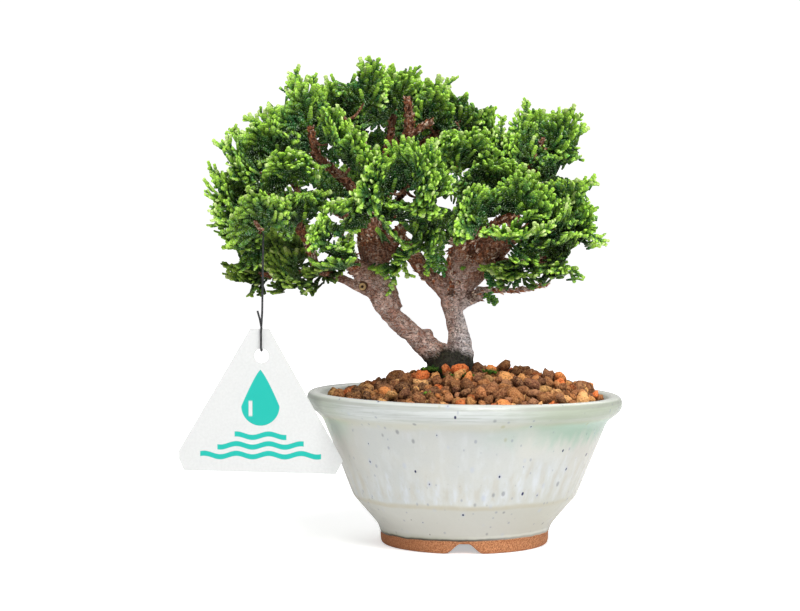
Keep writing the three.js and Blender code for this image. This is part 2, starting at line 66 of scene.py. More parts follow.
# ---------------------------------------------------------------- studio
# A white paper sweep that curves up behind the tree, a large soft light from the upper right, and two
# weaker ones from the left and from behind.


def operator(operation):
    """The two methods of an operator on sockets: with the socket before the other value, and after it."""
    return (lambda socket, other: socket.finish.maths(operation, socket, other),
            lambda socket, other: socket.finish.maths(operation, other, socket))


class Socket:
    """One output of a material's node. Arithmetic on it adds Math nodes to that material."""

    __add__, __radd__ = operator("ADD")
    __sub__, __rsub__ = operator("SUBTRACT")
    __mul__, __rmul__ = operator("MULTIPLY")
    __truediv__, __rtruediv__ = operator("DIVIDE")
    __pow__, __rpow__ = operator("POWER")

    def __init__(self, finish, output):
        self.finish, self.output = finish, output

    def __abs__(self):
        return self.finish.maths("ABSOLUTE", self)

    def steps(self, start, end):
        """A smooth rise from 0 at start to 1 at end, which may be the lower of the two."""
        low, high, at_low = (start, end, 0.0) if start <= end else (end, start, 1.0)
        values = {0: self, 1: low, 2: high, 3: at_low, 4: 1 - at_low}
        return self.finish.node("ShaderNodeMapRange", {"interpolation_type": "SMOOTHSTEP"}, values)


def colour(tone):
    """A screen colour, of three numbers, as the linear one that shaders use. Any other tone stays."""
    if isinstance(tone, Socket) or len(tone) == 4:
        return tone
    shares = [value / 255 for value in tone]
    return tuple(s / 12.92 if s <= 0.04045 else ((s + 0.055) / 1.055) ** 2.4 for s in shares) + (1.0,)


class Finish:
    """A material, with one method that adds any node and a few for the nodes used most."""

    def __init__(self, name, roughness=0.5, gloss=0.5):
        self.material = bpy.data.materials.new(name)
        self.material.use_nodes = True
        self.tree = self.material.node_tree
        self.shader = self.tree.nodes["Principled BSDF"]
        self.shader.inputs["Roughness"].default_value = roughness
        self.shader.inputs["Specular IOR Level"].default_value = gloss

    def node(self, kind, settings=None, values=None, output=0):
        node = self.tree.nodes.new(kind)
        for name, value in (settings or {}).items():
            setattr(node, name, value)
        self.feed(node, values or {})
        return Socket(self, node.outputs[output])

    def feed(self, node, values):
        for name, value in values.items():
            if isinstance(value, Socket):
                self.tree.links.new(value.output, node.inputs[name])
            else:
                node.inputs[name].default_value = value

    def maths(self, operation, *values):
        return self.node("ShaderNodeMath", {"operation": operation}, dict(enumerate(values)))

    def clamped(self, value):
        return self.node("ShaderNodeClamp", {}, {0: value})

    def place(self):
        """Object coordinates in millimetres, with the bowl's axis at zero."""
        coordinates = self.node("ShaderNodeTexCoord", output=3)
        mapping = {"Vector": coordinates, "Location": (-POT_X / MM, 0, 0), "Scale": (1 / MM,) * 3}
        return self.node("ShaderNodeMapping", {}, mapping)

    def split(self, vector):
        node = self.tree.nodes.new("ShaderNodeSeparateXYZ")
        self.feed(node, {0: vector})
        return [Socket(self, output) for output in node.outputs]

    def stretch(self, vector, scale):
        return self.node("ShaderNodeMapping", {}, {"Vector": vector, "Scale": scale})

    def noise(self, vector, size, detail=3.0, roughness=0.55, distortion=0.0):
        """A soft random value from 0 to 1, with spots about `size` across."""
        values = {"Vector": vector, "Scale": 1 / size, "Detail": detail, "Roughness": roughness}
        return self.node("ShaderNodeTexNoise", {}, values | {"Distortion": distortion})

    def cells(self, vector, size, output=0):
        return self.node("ShaderNodeTexVoronoi", {}, {"Vector": vector, "Scale": 1 / size}, output)

    def blend(self, factor, first, second):
        """The first tone where the factor is 0, the second where it is 1."""
        values = {0: factor, 6: colour(first), 7: colour(second)}
        return self.node("ShaderNodeMix", {"data_type": "RGBA"}, values, output=2)

    def coats(self, tone, *coats):
        """A tone with others laid over it in turn, each given as its mask and its colour."""
        for mask, tint in coats:
            tone = self.blend(mask, tone, tint)
        return tone

    def attribute(self, name, output=2):
        return self.node("ShaderNodeAttribute", {"attribute_name": name}, output=output)

    def relief(self, height, depth, **normal):
        """A bump `depth` millimetres deep."""
        values = {"Height": height, "Distance": depth * MM, "Strength": 1.0}
        return self.node("ShaderNodeBump", {}, values | normal)

    def surface(self, **sockets):
        self.feed(self.shader, {name.replace("_", " ").title(): value for name, value in sockets.items()})


def select_where(piece, rule):
    """In edit mode: selects the vertices that the rule is true for."""
    mesh = bmesh.from_edit_mesh(piece.data)
    for vertex in mesh.verts:
        vertex.select = rule(vertex.co)
    mesh.select_flush_mode()
    bmesh.update_edit_mesh(piece.data)


paper = Finish("white_paper", roughness=0.9)
seen = paper.node("ShaderNodeLightPath")
behind = paper.split(paper.place())[1].steps(300, 1500)
glow = paper.blend(behind, (0.86, 0.86, 0.86, 1), (1, 1, 1, 1))
paper.surface(base_color=colour((252, 252, 252)), emission_color=paper.blend(seen, (0, 0, 0, 1), glow))
paper.shader.inputs["Emission Strength"].default_value = 0.56

SWEEP_WIDTH, SWEEP_FRONT, SWEEP_BACK, SWEEP_BEND, SWEEP_TOP = 8.0, -3.0, 2.2, 1.0, 4.0
BEND_STEPS = 8
bpy.ops.mesh.primitive_plane_add(size=1, location=(0, 0, 0))
bpy.ops.transform.resize(value=(SWEEP_WIDTH, SWEEP_BACK - SWEEP_FRONT, 1), center_override=(0, 0, 0))
bpy.ops.transform.translate(value=(0, (SWEEP_BACK + SWEEP_FRONT) / 2, 0))
bpy.ops.object.transform_apply(location=True, rotation=True, scale=True)
sweep = bpy.context.active_object
bpy.ops.object.mode_set(mode="EDIT")
select_where(sweep, lambda co: co.y > SWEEP_BACK - 0.01)
for step in range(BEND_STEPS):
    turn = math.radians(90 * (step + 0.5) / BEND_STEPS)
    length = 2 * SWEEP_BEND * math.sin(math.radians(45 / BEND_STEPS))
    move = (0, length * math.cos(turn), length * math.sin(turn))
    bpy.ops.mesh.extrude_edges_move(TRANSFORM_OT_translate={"value": move})
bpy.ops.mesh.extrude_edges_move(TRANSFORM_OT_translate={"value": (0, 0, SWEEP_TOP - SWEEP_BEND)})
bpy.ops.mesh.select_all(action="SELECT")
bpy.ops.mesh.normals_make_consistent(inside=False)
bpy.ops.object.mode_set(mode="OBJECT")
bpy.ops.object.shade_smooth()
sweep.name = "paper_sweep"
sweep.data.materials.append(paper.material)

TREE_MIDDLE = Vector((POT_X - 0.03, 0, 0.13))
for name, place, size, power in (("key_light", (0.5, -1.0, 1.35), 0.9, 28),
                                 ("fill_light", (-1.3, -1.1, 0.7), 1.2, 2.6),
                                 ("back_light", (0.4, 1.2, 1.2), 1.0, 5)):
    bpy.ops.object.light_add(type="AREA", location=place)
    light = bpy.context.active_object
    light.name = name
    light.rotation_euler = (TREE_MIDDLE - Vector(place)).to_track_quat("-Z", "Y").to_euler()
    light.data.shape, light.data.size, light.data.energy = "SQUARE", size, power

world = bpy.data.worlds.new("studio_air")
world.use_nodes = True
air = world.node_tree.nodes["Background"].inputs
air["Color"].default_value, air["Strength"].default_value = (1, 1, 1, 1), 0.38
bpy.context.scene.world = world
bpy.context.scene.view_settings.view_transform = "Standard"

# ---------------------------------------------------------------- pot
# A thrown stoneware bowl. Above its bare foot it is covered with a pale celadon glaze, with iron and
# cobalt specks. The wall has a low ridge with soft flutes above it, a narrow neck and a rolled lip.
FLUTES = 46
POT_SIDES = 4 * FLUTES
GLAZE_LINE, FOOT_RADIUS, FOOT_INSIDE, RECESS_RADIUS, LIP_SLOPE = 6.2, 40, 35.55, 36, 0.017
ARCH_HALF, ARCH_FLAT, ARCH_RISE = 9.0, 1.2, 5.0
pot_profile = [
    (35.6, 0.5), (36.2, 0.0), (39.0, 0.0), (39.7, 0.35), (40.1, 1.4), (40.3, 3.4), (40.2, 5.4),
    (40.45, 6.0), (40.8, 6.9), (41.3, 8.8), (43.0, 11.2), (45.6, 14.2), (49.0, 18.2), (51.8, 21.4),
    (53.3, 23.2), (53.7, 24.4), (54.3, 25.8), (55.6, 29.2), (57.6, 34.2), (60.6, 41.6), (63.3, 48.4),
    (65.5, 53.8), (66.9, 57.4), (67.9, 59.4), (69.6, 61.2), (72.0, 63.0), (74.2, 64.8), (75.2, 67.2),
    (75.1, 69.6), (74.2, 71.3), (72.4, 72.0), (70.2, 71.8), (68.3, 70.7), (66.9, 68.6), (65.8, 66.0),
    (61.4, 55.0), (52.4, 32.0), (43.6, 20.2), (35.0, 9.2), (33.0, 9.0), (7.1, 9.0), (6.6, 8.5),
    (6.6, 4.3), (7.1, 3.8), (33.6, 3.8), (35.0, 3.3), (35.5, 2.2),
]


def turned(profile, sides):
    """A ring of clay: a circle pulled through each [radius, height] and closed on itself."""
    radius, height = profile[0]
    axis = Vector((POT_X, 0, 0))
    start = (POT_X, 0, height * MM)
    bpy.ops.mesh.primitive_circle_add(vertices=sides, radius=radius * MM, location=start)
    bpy.ops.object.mode_set(mode="EDIT")
    for next_radius, next_height in profile[1:] + profile[:1]:
        rise = (0, 0, (next_height - height) * MM)
        bpy.ops.mesh.extrude_edges_move(TRANSFORM_OT_translate={"value": rise})
        growth = next_radius / radius
        bpy.ops.transform.resize(value=(growth, growth, 1), center_override=axis)
        radius, height = next_radius, next_height
    bpy.ops.mesh.select_all(action="SELECT")
    bpy.ops.mesh.remove_doubles(threshold=0.01 * MM)
    bpy.ops.mesh.normals_make_consistent(inside=False)
    bpy.ops.object.mode_set(mode="OBJECT")
    bpy.ops.object.transform_apply(location=True, rotation=True, scale=True)
    return bpy.context.active_object


def vertices_of(piece):
    """The piece's vertices in millimetres, from the bowl's axis."""
    flat = np.empty(3 * len(piece.data.vertices))
    piece.data.vertices.foreach_get("co", flat)
    return flat.reshape(-1, 3) / MM - (POT_X / MM, 0, 0)


def in_metres(places):
    return (places + (POT_X / MM, 0, 0)) * MM


def move_vertices(piece, places):
    piece.data.vertices.foreach_set("co", in_metres(places).ravel())
    piece.data.update()


def smooth_rise(value, low, high):
    share = np.clip((value - low) / (high - low), 0, 1)
    return share * share * (3 - 2 * share)


def changed_by(piece, kind, **settings):
    """Adds a modifier with these settings to the active piece and applies it."""
    modifier = piece.modifiers.new(kind.lower(), kind)
    for name, value in settings.items():
        setattr(modifier, name, value)
    bpy.ops.object.modifier_apply(modifier=modifier.name)


def declare(piece, slot, *nodes):
    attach(piece, "root")
    if nodes:
        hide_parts(*nodes)


def finished(name, finish, slot, *nodes):
    """Makes the active object a piece: its name, material, body and the solids it replaces. The slot is not
    used.
    """
    piece = bpy.context.active_object
    piece.name = piece.data.name = name
    piece.data.materials.clear()
    piece.data.materials.append(finish.material)
    declare(piece, slot, *nodes)


pot = turned(pot_profile, POT_SIDES)
spots = vertices_of(pot)
radius = np.hypot(spots[:, 0], spots[:, 1])
angle = np.arctan2(spots[:, 1], spots[:, 0])
outside = (radius > 50) & (spots[:, 2] > 22) & (radius > 52.4 + 0.36 * (spots[:, 2] - 24))
flute = 0.2 * np.cos(FLUTES * angle + 0.6 * np.sin(3 * angle))
flute *= smooth_rise(spots[:, 2], 23.6, 26.5) * (1 - smooth_rise(spots[:, 2], 30, 47))
wobble = 0.22 * np.sin(2 * angle + 0.8) + 0.12 * np.sin(5 * angle + 0.05 * spots[:, 2])
wobble *= smooth_rise(spots[:, 2], 8, 20)
pushed = radius + np.where(outside, flute, 0) + np.where(radius > RECESS_RADIUS, wobble, 0)
spots[:, :2] *= (pushed / radius)[:, None]
for middle in (-90, 30, 150):
    apart = np.abs((np.degrees(angle) - middle + 180) % 360 - 180)
    lifted = ARCH_RISE * (1 - smooth_rise(np.radians(apart) * FOOT_RADIUS, ARCH_FLAT, ARCH_HALF))
    outer = (radius > FOOT_INSIDE) & (spots[:, 2] < GLAZE_LINE)
    spots[:, 2] += np.where(outer, lifted * np.clip(1 - spots[:, 2] / (GLAZE_LINE + 0.2), 0, 1) ** 0.8, 0)
    inner = (radius <= FOOT_INSIDE) & (radius > 34.5) & (spots[:, 2] < 4)
    spots[:, 2] += np.where(inner, np.minimum(lifted, 4.0) * (1 - spots[:, 2] / 4.0), 0)
spots[:, 2] -= LIP_SLOPE * spots[:, 0] * smooth_rise(spots[:, 2], 20, 70)
move_vertices(pot, spots)
changed_by(pot, "SUBSURF", levels=1, render_levels=1)
bpy.ops.object.shade_smooth()

glaze = Finish("celadon_glaze")
place = glaze.place()
x, y, z = glaze.split(place)
speck_place = glaze.stretch(place, (1, 1, 0.62))


def specks(size, least, most, share, fuzz=0.05):
    """Scattered dots: one in each of a share of the cells, of a random size."""
    chance, draw, _ = glaze.split(glaze.cells(speck_place, size, output=1))
    reach = least + (most - least) * draw
    chosen = chance.steps(1 - share - 0.001, 1 - share)
    return ((reach - glaze.cells(speck_place, size)) / fuzz).steps(0, 1) * chosen


wave = glaze.noise(place, 22, detail=2)
cloud = glaze.noise(place, 34)
drip = glaze.noise(glaze.stretch(place, (1, 1, 0.14)), 4.5)
curdle = glaze.noise(place, 1.1, roughness=0.7)
streak = glaze.noise(glaze.stretch(place, (1, 1, 0.22)), 3.0)
thrown = glaze.noise(glaze.stretch(place, (0.03, 0.03, 1)), 0.8, roughness=0.7)
crest = glaze.maths("SINE", glaze.maths("ARCTAN2", y, x) * FLUTES + wave * 5)
flute_end = z + (drip - 0.5) * 26 - x.steps(0, 45) * 7
fluted = (z + (streak - 0.5) * 14).steps(23.5, 27) * flute_end.steps(40, 30)
ridge_height = z + (wave - 0.5) * 2.4
ridge_line = ridge_height.steps(21.4, 22.8) * ridge_height.steps(25, 23.4)
to_right = (x + (cloud - 0.5) * 50).steps(8, 46)
to_left = (x + (cloud - 0.5) * 30).steps(-46, -64)
neck_height = z + (wave - 0.5) * 3
neck_line = neck_height.steps(58, 61.5) * neck_height.steps(67, 64.4)
pool = (z + (drip - 0.5) * 14).steps(47, 58) * neck_height.steps(63, 60)
lip = z.steps(61.5, 65)
rim_height = z + x * LIP_SLOPE
edge_height = z - x * 0.014 + (glaze.noise(place, 8, detail=2) - 0.5) * 1.4 - GLAZE_LINE
bare = edge_height.steps(0.15, -0.3)
body = glaze.coats(
    (208, 208, 201),
    (cloud.steps(0.3, 0.7), (200, 203, 201)),
    (drip.steps(0.5, 0.72) * 0.35, (215, 218, 219)),
    (curdle.steps(0.5, 0.7) * 0.25, (188, 190, 186)),
    # the flutes' crests whiter and bluer, a painted highlight, and the grooves between them darker beige,
    # painted shade
    (fluted * crest.steps(-0.4, 1) * streak.steps(0.36, 0.6) * 0.6, (216, 221, 228)),
    (fluted * crest.steps(0.1, -1) * streak.steps(0.62, 0.4) * 0.5, (193, 187, 172)),
    # the wall below the ridge, the ridge itself, and painted shade where the wall turns away at both sides
    # and at the lower right
    ((z + (wave - 0.5) * 4).steps(26, 21.5) * 0.8, (197, 196, 187)),
    (ridge_line * (0.25 + 0.7 * streak), (192, 184, 160)),
    (abs(x).steps(38, 62) * 0.5, (204, 196, 178)),
    (x.steps(5, 50) * z.steps(36, 18) * 0.7, (184, 181, 164)),
    # the glaze pools green under the lip
    (neck_line * (0.35 + 0.45 * to_right + 0.5 * to_left),
     glaze.blend(to_right, (190, 188, 158), (152, 164, 130))),
    (pool * (to_right * 0.9 + to_left * 0.6), (158, 188, 168)),
    (x.steps(-60, -70) * z.steps(40, 56) * 0.6, (186, 190, 136)),
    # the lip, with throwing rings, a thin darker line under its top, and its top lighter, a painted
    # highlight
    (lip * 0.8, (199, 204, 202)),
    (lip * thrown.steps(0.5, 0.58) * 0.5, (216, 220, 218)),
    (lip * thrown.steps(0.48, 0.42) * 0.5, (178, 183, 176)),
    (lip * (to_right * 0.8 + to_left * 0.55), (166, 176, 152)),
    (rim_height.steps(68.8, 69.6) * rim_height.steps(71.0, 70.3) * 0.55, (166, 168, 158)),
    (rim_height.steps(70.6, 71.4) * 0.7, (218, 219, 211)),
    # blurred, haloed and sharp cobalt specks, then iron and olive ones
    (specks(4.1, 0.1, 0.22, 0.8, fuzz=0.12) * 0.4, (112, 122, 150)),
    (specks(7.3, 0.08, 0.2, 0.6, fuzz=0.1) * 0.6, (120, 122, 128)),
    (specks(6.1, 0.16, 0.3, 0.62, fuzz=0.22) * 0.3, (170, 184, 218)),
    (specks(6.1, 0.05, 0.12, 0.7, fuzz=0.03) * 0.95, (24, 28, 78)),
    (specks(4.7, 0.06, 0.13, 0.5) * (z + x * 0.2).steps(40, 8) * 0.85, (80, 62, 46)),
    (specks(9.7, 0.08, 0.16, 0.3, fuzz=0.1) * 0.4, (160, 158, 100)),
    # the glaze's edge above the foot
    (edge_height.steps(0.7, 1.3) * edge_height.steps(2.6, 1.6) * 0.5, (224, 225, 216)),
    (edge_height.steps(3.2, 0.6) * (0.2 + 0.7 * x.steps(20, -20)) * 0.7, (128, 126, 96)),
    (edge_height.steps(1.3, 0.2) * (0.2 + 0.75 * x.steps(32, 0)), (54, 42, 28)))
grain = glaze.noise(place, 0.6, roughness=0.75)
clay = glaze.coats(
    (162, 98, 60),
    (grain.steps(0.4, 0.6), (212, 150, 104)),
    (glaze.noise(place, 0.9, detail=2).steps(0.6, 0.68) * 0.65, (112, 62, 36)),
    (x.steps(0, -38) * 0.5, (146, 84, 46)))
swell = glaze.relief(glaze.noise(place, 9, detail=2) * 0.7 + lip * thrown * 0.5, 0.4)
glaze.surface(base_color=glaze.blend(bare, body, clay), roughness=0.17 + bare * 0.68 + 0.06 * wave,
              normal=glaze.relief(grain * bare, 0.3, Normal=swell))
bpy.context.view_layer.objects.active = pot
finished("bowl", glaze, "glaze", "pot")

# ---------------------------------------------------------------- drain screen
# A slotted disc of black plastic that lies over the drain hole, seen only from below. The solid from
# the frame stays, with moulded plastic on it.


def dress(node, finish):
    """Gives a solid that stays in sight its finish."""
    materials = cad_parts[node].data.materials
    materials.clear()
    materials.append(finish.material)


plastic = Finish("black_plastic", roughness=0.55)
mottle = plastic.noise(plastic.place(), 0.8, detail=2)
plastic.surface(base_color=plastic.blend(mottle, (30, 31, 31), (44, 45, 45)),
                normal=plastic.relief(mottle, 0.05))
dress("drain_screen", plastic)

# ---------------------------------------------------------------- granules
# Baked clay granules, 5 to 9 mm across, brown with some orange and tan ones. They are poured into the
# bowl and mound up towards the trunks. Each is dropped where it finds the lowest place.
MOUND_RADII, MOUND_HEIGHTS = (0.0, 30.0, 50.0, 62.0, 65.2), (80.6, 76.8, 72.4, 69.6, 66.6)
MOUND_TILT, MOUND_REACH = 0.022, 63.6
TREE_X, TREE_ROOM = -7, 9.5
GRANULES_POURED, PLACES_TRIED, MOST_PROUD = 720, 6, 2.4


def shape_taken():
    """The corners and faces of the active object, which is removed: a shape to be copied many times."""
    shape = bpy.context.active_object
    corners = np.array([vertex.co for vertex in shape.data.vertices])
    faces = [list(face.vertices) for face in shape.data.polygons]
    bpy.data.objects.remove(shape)
    return corners, faces


bpy.ops.mesh.primitive_ico_sphere_add(subdivisions=2, radius=1, location=(0, 0, 0))
pebble_corners, pebble_faces = shape_taken()

rng = np.random.default_rng(41)
dropped = []
for _ in range(GRANULES_POURED):
    size = rng.uniform(2.4, 4.4) * (0.7 if rng.random() < 0.45 else 1)
    best = None
    for _ in range(PLACES_TRIED):
        spread, turn = MOUND_REACH * math.sqrt(rng.random()), rng.uniform(0, 2 * math.pi)
        px, py = spread * math.cos(turn), spread * math.sin(turn)
        if math.hypot(px - TREE_X, py) < TREE_ROOM + size:
            continue
        ground = np.interp(spread, MOUND_RADII, MOUND_HEIGHTS) + MOUND_TILT * px
        height = ground - 0.55 * size
        if dropped:
            near = np.array(dropped)
            gap = 0.8 * (near[:, 3] + size)
            apart = np.hypot(near[:, 0] - px, near[:, 1] - py)
            touching = apart < gap
            if touching.any():
                rest = near[touching, 2] + np.sqrt(gap[touching] ** 2 - apart[touching] ** 2)
                height = max(height, rest.max())
        proud = height - ground
        if best is None or proud < best[0]:
            best = (proud, px, py, height)
    if best and best[0] < MOST_PROUD:
        dropped.append((*best[1:], size))

# These lie on top, close to the trunks.
dropped += [(18.4, -2, 84.0, 4.2), (13.6, -3, 82.2, 3.3), (28, 0, 81.2, 3.8), (40.5, -2, 79.4, 3.8),
            (34, -2, 79.8, 3.1), (-8.2, -13.8, 83.0, 3.1), (-1.8, -13.6, 82.8, 3.4), (24.5, -1, 82.0, 3.4),
            (45.6, -4, 79.0, 3.6)]
always_orange = range(len(dropped) - 4, len(dropped) - 2)
browns = [(128, 82, 54), (152, 98, 62), (108, 70, 52), (172, 112, 68), (134, 92, 66)]
oranges = [(206, 104, 52), (190, 98, 50), (210, 130, 72)]
tans = [(206, 154, 94), (192, 134, 80), (214, 160, 104)]
granule_parts, granule_shaded_tints = [], []
for number, (px, py, pz, size) in enumerate(dropped):
    dents = np.sin(pebble_corners @ rng.normal(0, 2.6, (3, 3)) + rng.uniform(0, 6, 3))
    lumps = 1 + 0.13 * dents.sum(1, keepdims=True)
    lumps += rng.normal(0, 0.045, lumps.shape)
    shape = pebble_corners * lumps * (size * rng.uniform((1.0, 0.8, 0.62), (1.35, 1.08, 0.95)))
    turn = np.linalg.qr(rng.normal(size=(3, 3)))[0]
    facing = int(np.sign(np.linalg.det(turn)))
    shape = shape @ turn.T
    granule_parts.append((shape + (px, py, pz), [face[::facing] for face in pebble_faces]))
    draw = rng.random()
    choice = browns if draw < 0.7 else oranges if draw < 0.8 else tans
    if number in always_orange:
        choice = oranges
    tint = np.array(colour(choice[rng.integers(len(choice))])[:3])
    # Each granule's brightness varies at random; besides, the granules are painted darker towards the left,
    # and each darker on its underside, as painted shade.
    tint *= rng.uniform(0.55, 1.85) * (1.22 + 0.013 * min(px, 0))
    shaded = 0.3 + 0.7 * smooth_rise(shape[:, 2] / size, -0.5, 0.35)
    granule_shaded_tints.append(np.column_stack([shaded[:, None] * tint, np.ones(len(shaded))]))

granule = Finish("baked_clay", roughness=0.95, gloss=0.1)
place = granule.place()
coarse = granule.noise(place, 1.5, detail=5, roughness=0.75)
fine = granule.noise(place, 0.5, roughness=0.7)
pits = granule.cells(place, 0.9)
tint = granule.attribute("grain_colour", output=0)
tone = granule.coats(
    tint,
    (coarse.steps(0.46, 0.66), granule.blend(0.5, tint, (220, 164, 108))),
    ((1 - coarse.steps(0.36, 0.5)) * 0.8, (54, 30, 20)),
    (fine.steps(0.56, 0.64) * 0.35, (232, 186, 142)),
    (fine.steps(0.42, 0.36) * 0.45, (40, 22, 16)),
    # the pits painted dark, as painted shade in them
    (pits.steps(0.32, 0.1) * 0.65, (36, 22, 16)))
granule.surface(base_color=tone, normal=granule.relief(coarse * 0.7 + fine * 0.3 + pits * 0.4, 1.0))


def new_piece(name, parts, finish, slot, *nodes, smooth=True):
    """A piece from the corners of each of its parts, in millimetres from the bowl's axis, and its faces."""
    firsts = np.cumsum([0] + [len(corners) for corners, _ in parts]).tolist()
    faces = [[index + first for index in face] for (_, part), first in zip(parts, firsts) for face in part]
    mesh = bpy.data.meshes.new(name)
    mesh.from_pydata(in_metres(np.concatenate([corners for corners, _ in parts])), [], faces)
    mesh.materials.append(finish.material)
    mesh.polygons.foreach_set("use_smooth", [smooth] * len(mesh.polygons))
    piece = bpy.data.objects.new(name, mesh)
    bpy.context.scene.collection.objects.link(piece)
    declare(piece, slot, *nodes)
    return piece


def put_attribute(piece, name, values, kind="FLOAT"):
    layer = piece.data.attributes.new(name, kind, "POINT")
    field = "value" if kind == "FLOAT" else "color"
    layer.data.foreach_set(field, np.asarray(values, np.float32).ravel())


granules = new_piece("granules", granule_parts, granule, "granules")
put_attribute(granules, "grain_colour", np.concatenate(granule_shaded_tints), "FLOAT_COLOR")

# The imported granules below the top ones are one dark mound that fills the bowl; its dark brown is painted
# shade for the gaps between the granules.
bed_profile = [
    (0.4, 10.5), (16.0, 10.5), (16.0, 9.4), (34.6, 9.4), (51.9, 32.0), (65.3, 66.4),
    (62.0, 67.6), (50.0, 70.4), (30.0, 74.8), (12.0, 77.6), (0.4, 78.0),
]
bed = turned(bed_profile, 72)
spots = vertices_of(bed)
spots[:, 2] += np.where(spots[:, 2] > 60, MOUND_TILT * spots[:, 0] - 0.4, 0)
move_vertices(bed, spots)
bpy.ops.object.shade_smooth()
packed = Finish("packed_granules", roughness=0.95, gloss=0.1)
place = packed.place()
clumps = packed.noise(place, 3).steps(0.35, 0.65)
packed.surface(base_color=packed.blend(clumps, (34, 24, 20), (70, 50, 38)),
               normal=packed.relief(packed.cells(place, 5), 1.5))
finished("granule_bed", packed, "granules", "soil")

# ---------------------------------------------------------------- wood
# Two trunks that part at the soil, with their branches and twigs. The bark is pinkish grey-brown with
# pale flakes, redder on thin branches, and black-green with algae at the foot.
limbs = {
    "root_flare": [(-7, 0, 64, 9), (-7, 0, 76, 11), (-7, 0, 84, 10.6), (-6, 0, 91, 7)],
    "left_trunk": [(-6, 0, 70, 5.2), (-9, 0, 85, 6.6), (-16, -1, 92, 6.1), (-23, -2, 98, 5.4),
        (-30, -3, 104, 5.2), (-36, -4, 111, 5.3), (-40, -4, 119, 6.1), (-41, -4, 127, 5.6),
        (-41, -2, 136, 5), (-41, 2, 145, 3.8)],
    "right_trunk": [(-3, 1, 70, 5.6), (-1.8, 1, 86, 6.4), (-1.8, 1, 93, 5.5), (-3.2, 0, 101, 4.9),
        (-5, 0, 109, 4.9), (-5.8, 0, 116, 5.6), (-5, 0, 123, 6.2)],
    "left_leader": [(-41, 2, 144, 3.6), (-40, 5, 156, 2.9), (-40, 6, 168, 2.4), (-38, 3, 180, 2.1),
        (-36, 0, 192, 1.8), (-34, -2, 205, 1.2)],
    "low_left": [(-42, -4, 119, 2.6), (-50, -6, 122, 2.3), (-57, -8, 126, 2.2), (-63, -10, 128, 2.1),
        (-69, -12, 131, 2.2), (-72, -14, 137, 2.2), (-74, -15, 144, 2.1), (-79, -18, 151, 1.8),
        (-88, -22, 155, 1.5), (-99, -26, 157, 1)],
    "tag_twig": [(-86, -21, 154, 1.4), (-91, -29, 154, 1.2), (-94.5, -38, 153, 1), (-96, -46, 153, 0.8)],
    "low_left_tip": [(-68, -12, 130, 1.6), (-78, -8, 129, 1.3), (-88, -4, 127, 1.1), (-99, 0, 129, 0.9)],
    "left_stub": [(-41, -4, 124, 3.6), (-47, -9, 129, 3.5), (-51, -14, 133, 3.2), (-54, -20, 136, 2.4),
        (-55, -26, 140, 1.4)],
    "left_upper": [(-41, 4, 151, 2.8), (-48, -6, 159, 2.6), (-53, -12, 169, 2.4), (-61, -16, 177, 2.1),
        (-69, -19, 184, 1.9), (-71, -20, 191, 1.5), (-72, -20, 198, 1)],
    "left_middle": [(-77, -17, 149, 1.5), (-77, -17, 160, 1.4), (-80, -19, 170, 1.3), (-90, -22, 181, 0.9)],
    "left_back": [(-41, 2, 144, 2.6), (-51, 15, 151, 2.2), (-61, 25, 158, 2), (-74, 32, 163, 1.6),
        (-89, 36, 168, 1.3), (-103, 34, 170, 0.9)],
    "left_top_back": [(-40, 5, 158, 2.2), (-44, 20, 170, 1.9), (-49, 32, 181, 1.6), (-56, 40, 191, 1.3),
        (-63, 40, 200, 0.9)],
    "left_front": [(-41, 2, 144, 2.4), (-38, -10, 151, 2.2), (-34, -22, 157, 1.9), (-30, -33, 164, 1.5),
        (-25, -42, 171, 1)],
    "top_right": [(-39, 4, 177, 2.1), (-31, 5, 185, 1.9), (-21, 5, 191, 1.6), (-11, 3, 197, 1.3),
        (0, 2, 202, 1)],
    "top_left": [(-39, 4, 175, 1.9), (-45, -4, 186, 1.6), (-51, -11, 194, 1.3), (-57, -16, 203, 0.9)],
    "centre_back": [(-40, 5, 160, 1.9), (-35, 20, 170, 1.6), (-30, 33, 180, 1.3), (-27, 40, 190, 0.9)],
    "right_to_left": [(-7, 0, 120, 3.4), (-13, -3, 126, 2.8), (-19, -5, 133, 2.5), (-24, -6, 139, 2.2),
        (-29, -6, 145, 1.7), (-32, -6, 151, 1.2)],
    "right_leader": [(-6, 0, 122, 4.6), (-4, -1, 131, 3.8), (-2, -3, 138, 3.4), (0, -4, 146, 2.8),
        (3, -4, 155, 2.2), (7, -3, 164, 1.8), (11, -1, 175, 1.4), (14, 1, 185, 1)],
    "right_main": [(-5, 1, 121, 5), (3, 2, 125, 4.2), (9, 3, 130, 3.8), (14, 4, 135, 3.3),
        (19, 4, 141, 2.8), (26, 3, 147, 2.2), (34, 2, 153, 1.7), (46, 0, 158, 1.1)],
    "right_lowest": [(6, -2, 121, 1.8), (15, -6, 121, 1.4), (24, -8, 121, 1.2), (31, -9, 122, 1),
        (40, -9, 124, 0.7)],
    "right_upper": [(19, 4, 140, 2.4), (23, 6, 151, 2.1), (27, 6, 164, 1.8), (31, 4, 176, 1.5),
        (34, 2, 186, 1.2), (38, 0, 194, 0.9)],
    "right_front": [(-1, -3, 141, 2.4), (4, -12, 146, 2), (9, -22, 150, 1.6), (16, -30, 153, 1.2),
        (24, -34, 155, 0.9)],
    "right_low": [(15, 4, 135, 2.2), (22, -3, 134, 1.8), (30, -8, 134, 1.4), (39, -11, 136, 1)],
    "right_back": [(-2, -3, 138, 2.4), (4, 14, 144, 2.1), (12, 28, 151, 1.8), (22, 36, 158, 1.4),
        (33, 38, 163, 1)],
    "right_back_low": [(11, 26, 150, 1.6), (20, 35, 146, 1.3), (30, 38, 144, 1)],
    "cut_stub": [(-2, 0, 114, 4), (4, -2, 117.5, 3.2), (9, -4, 118.5, 2.4)],
}


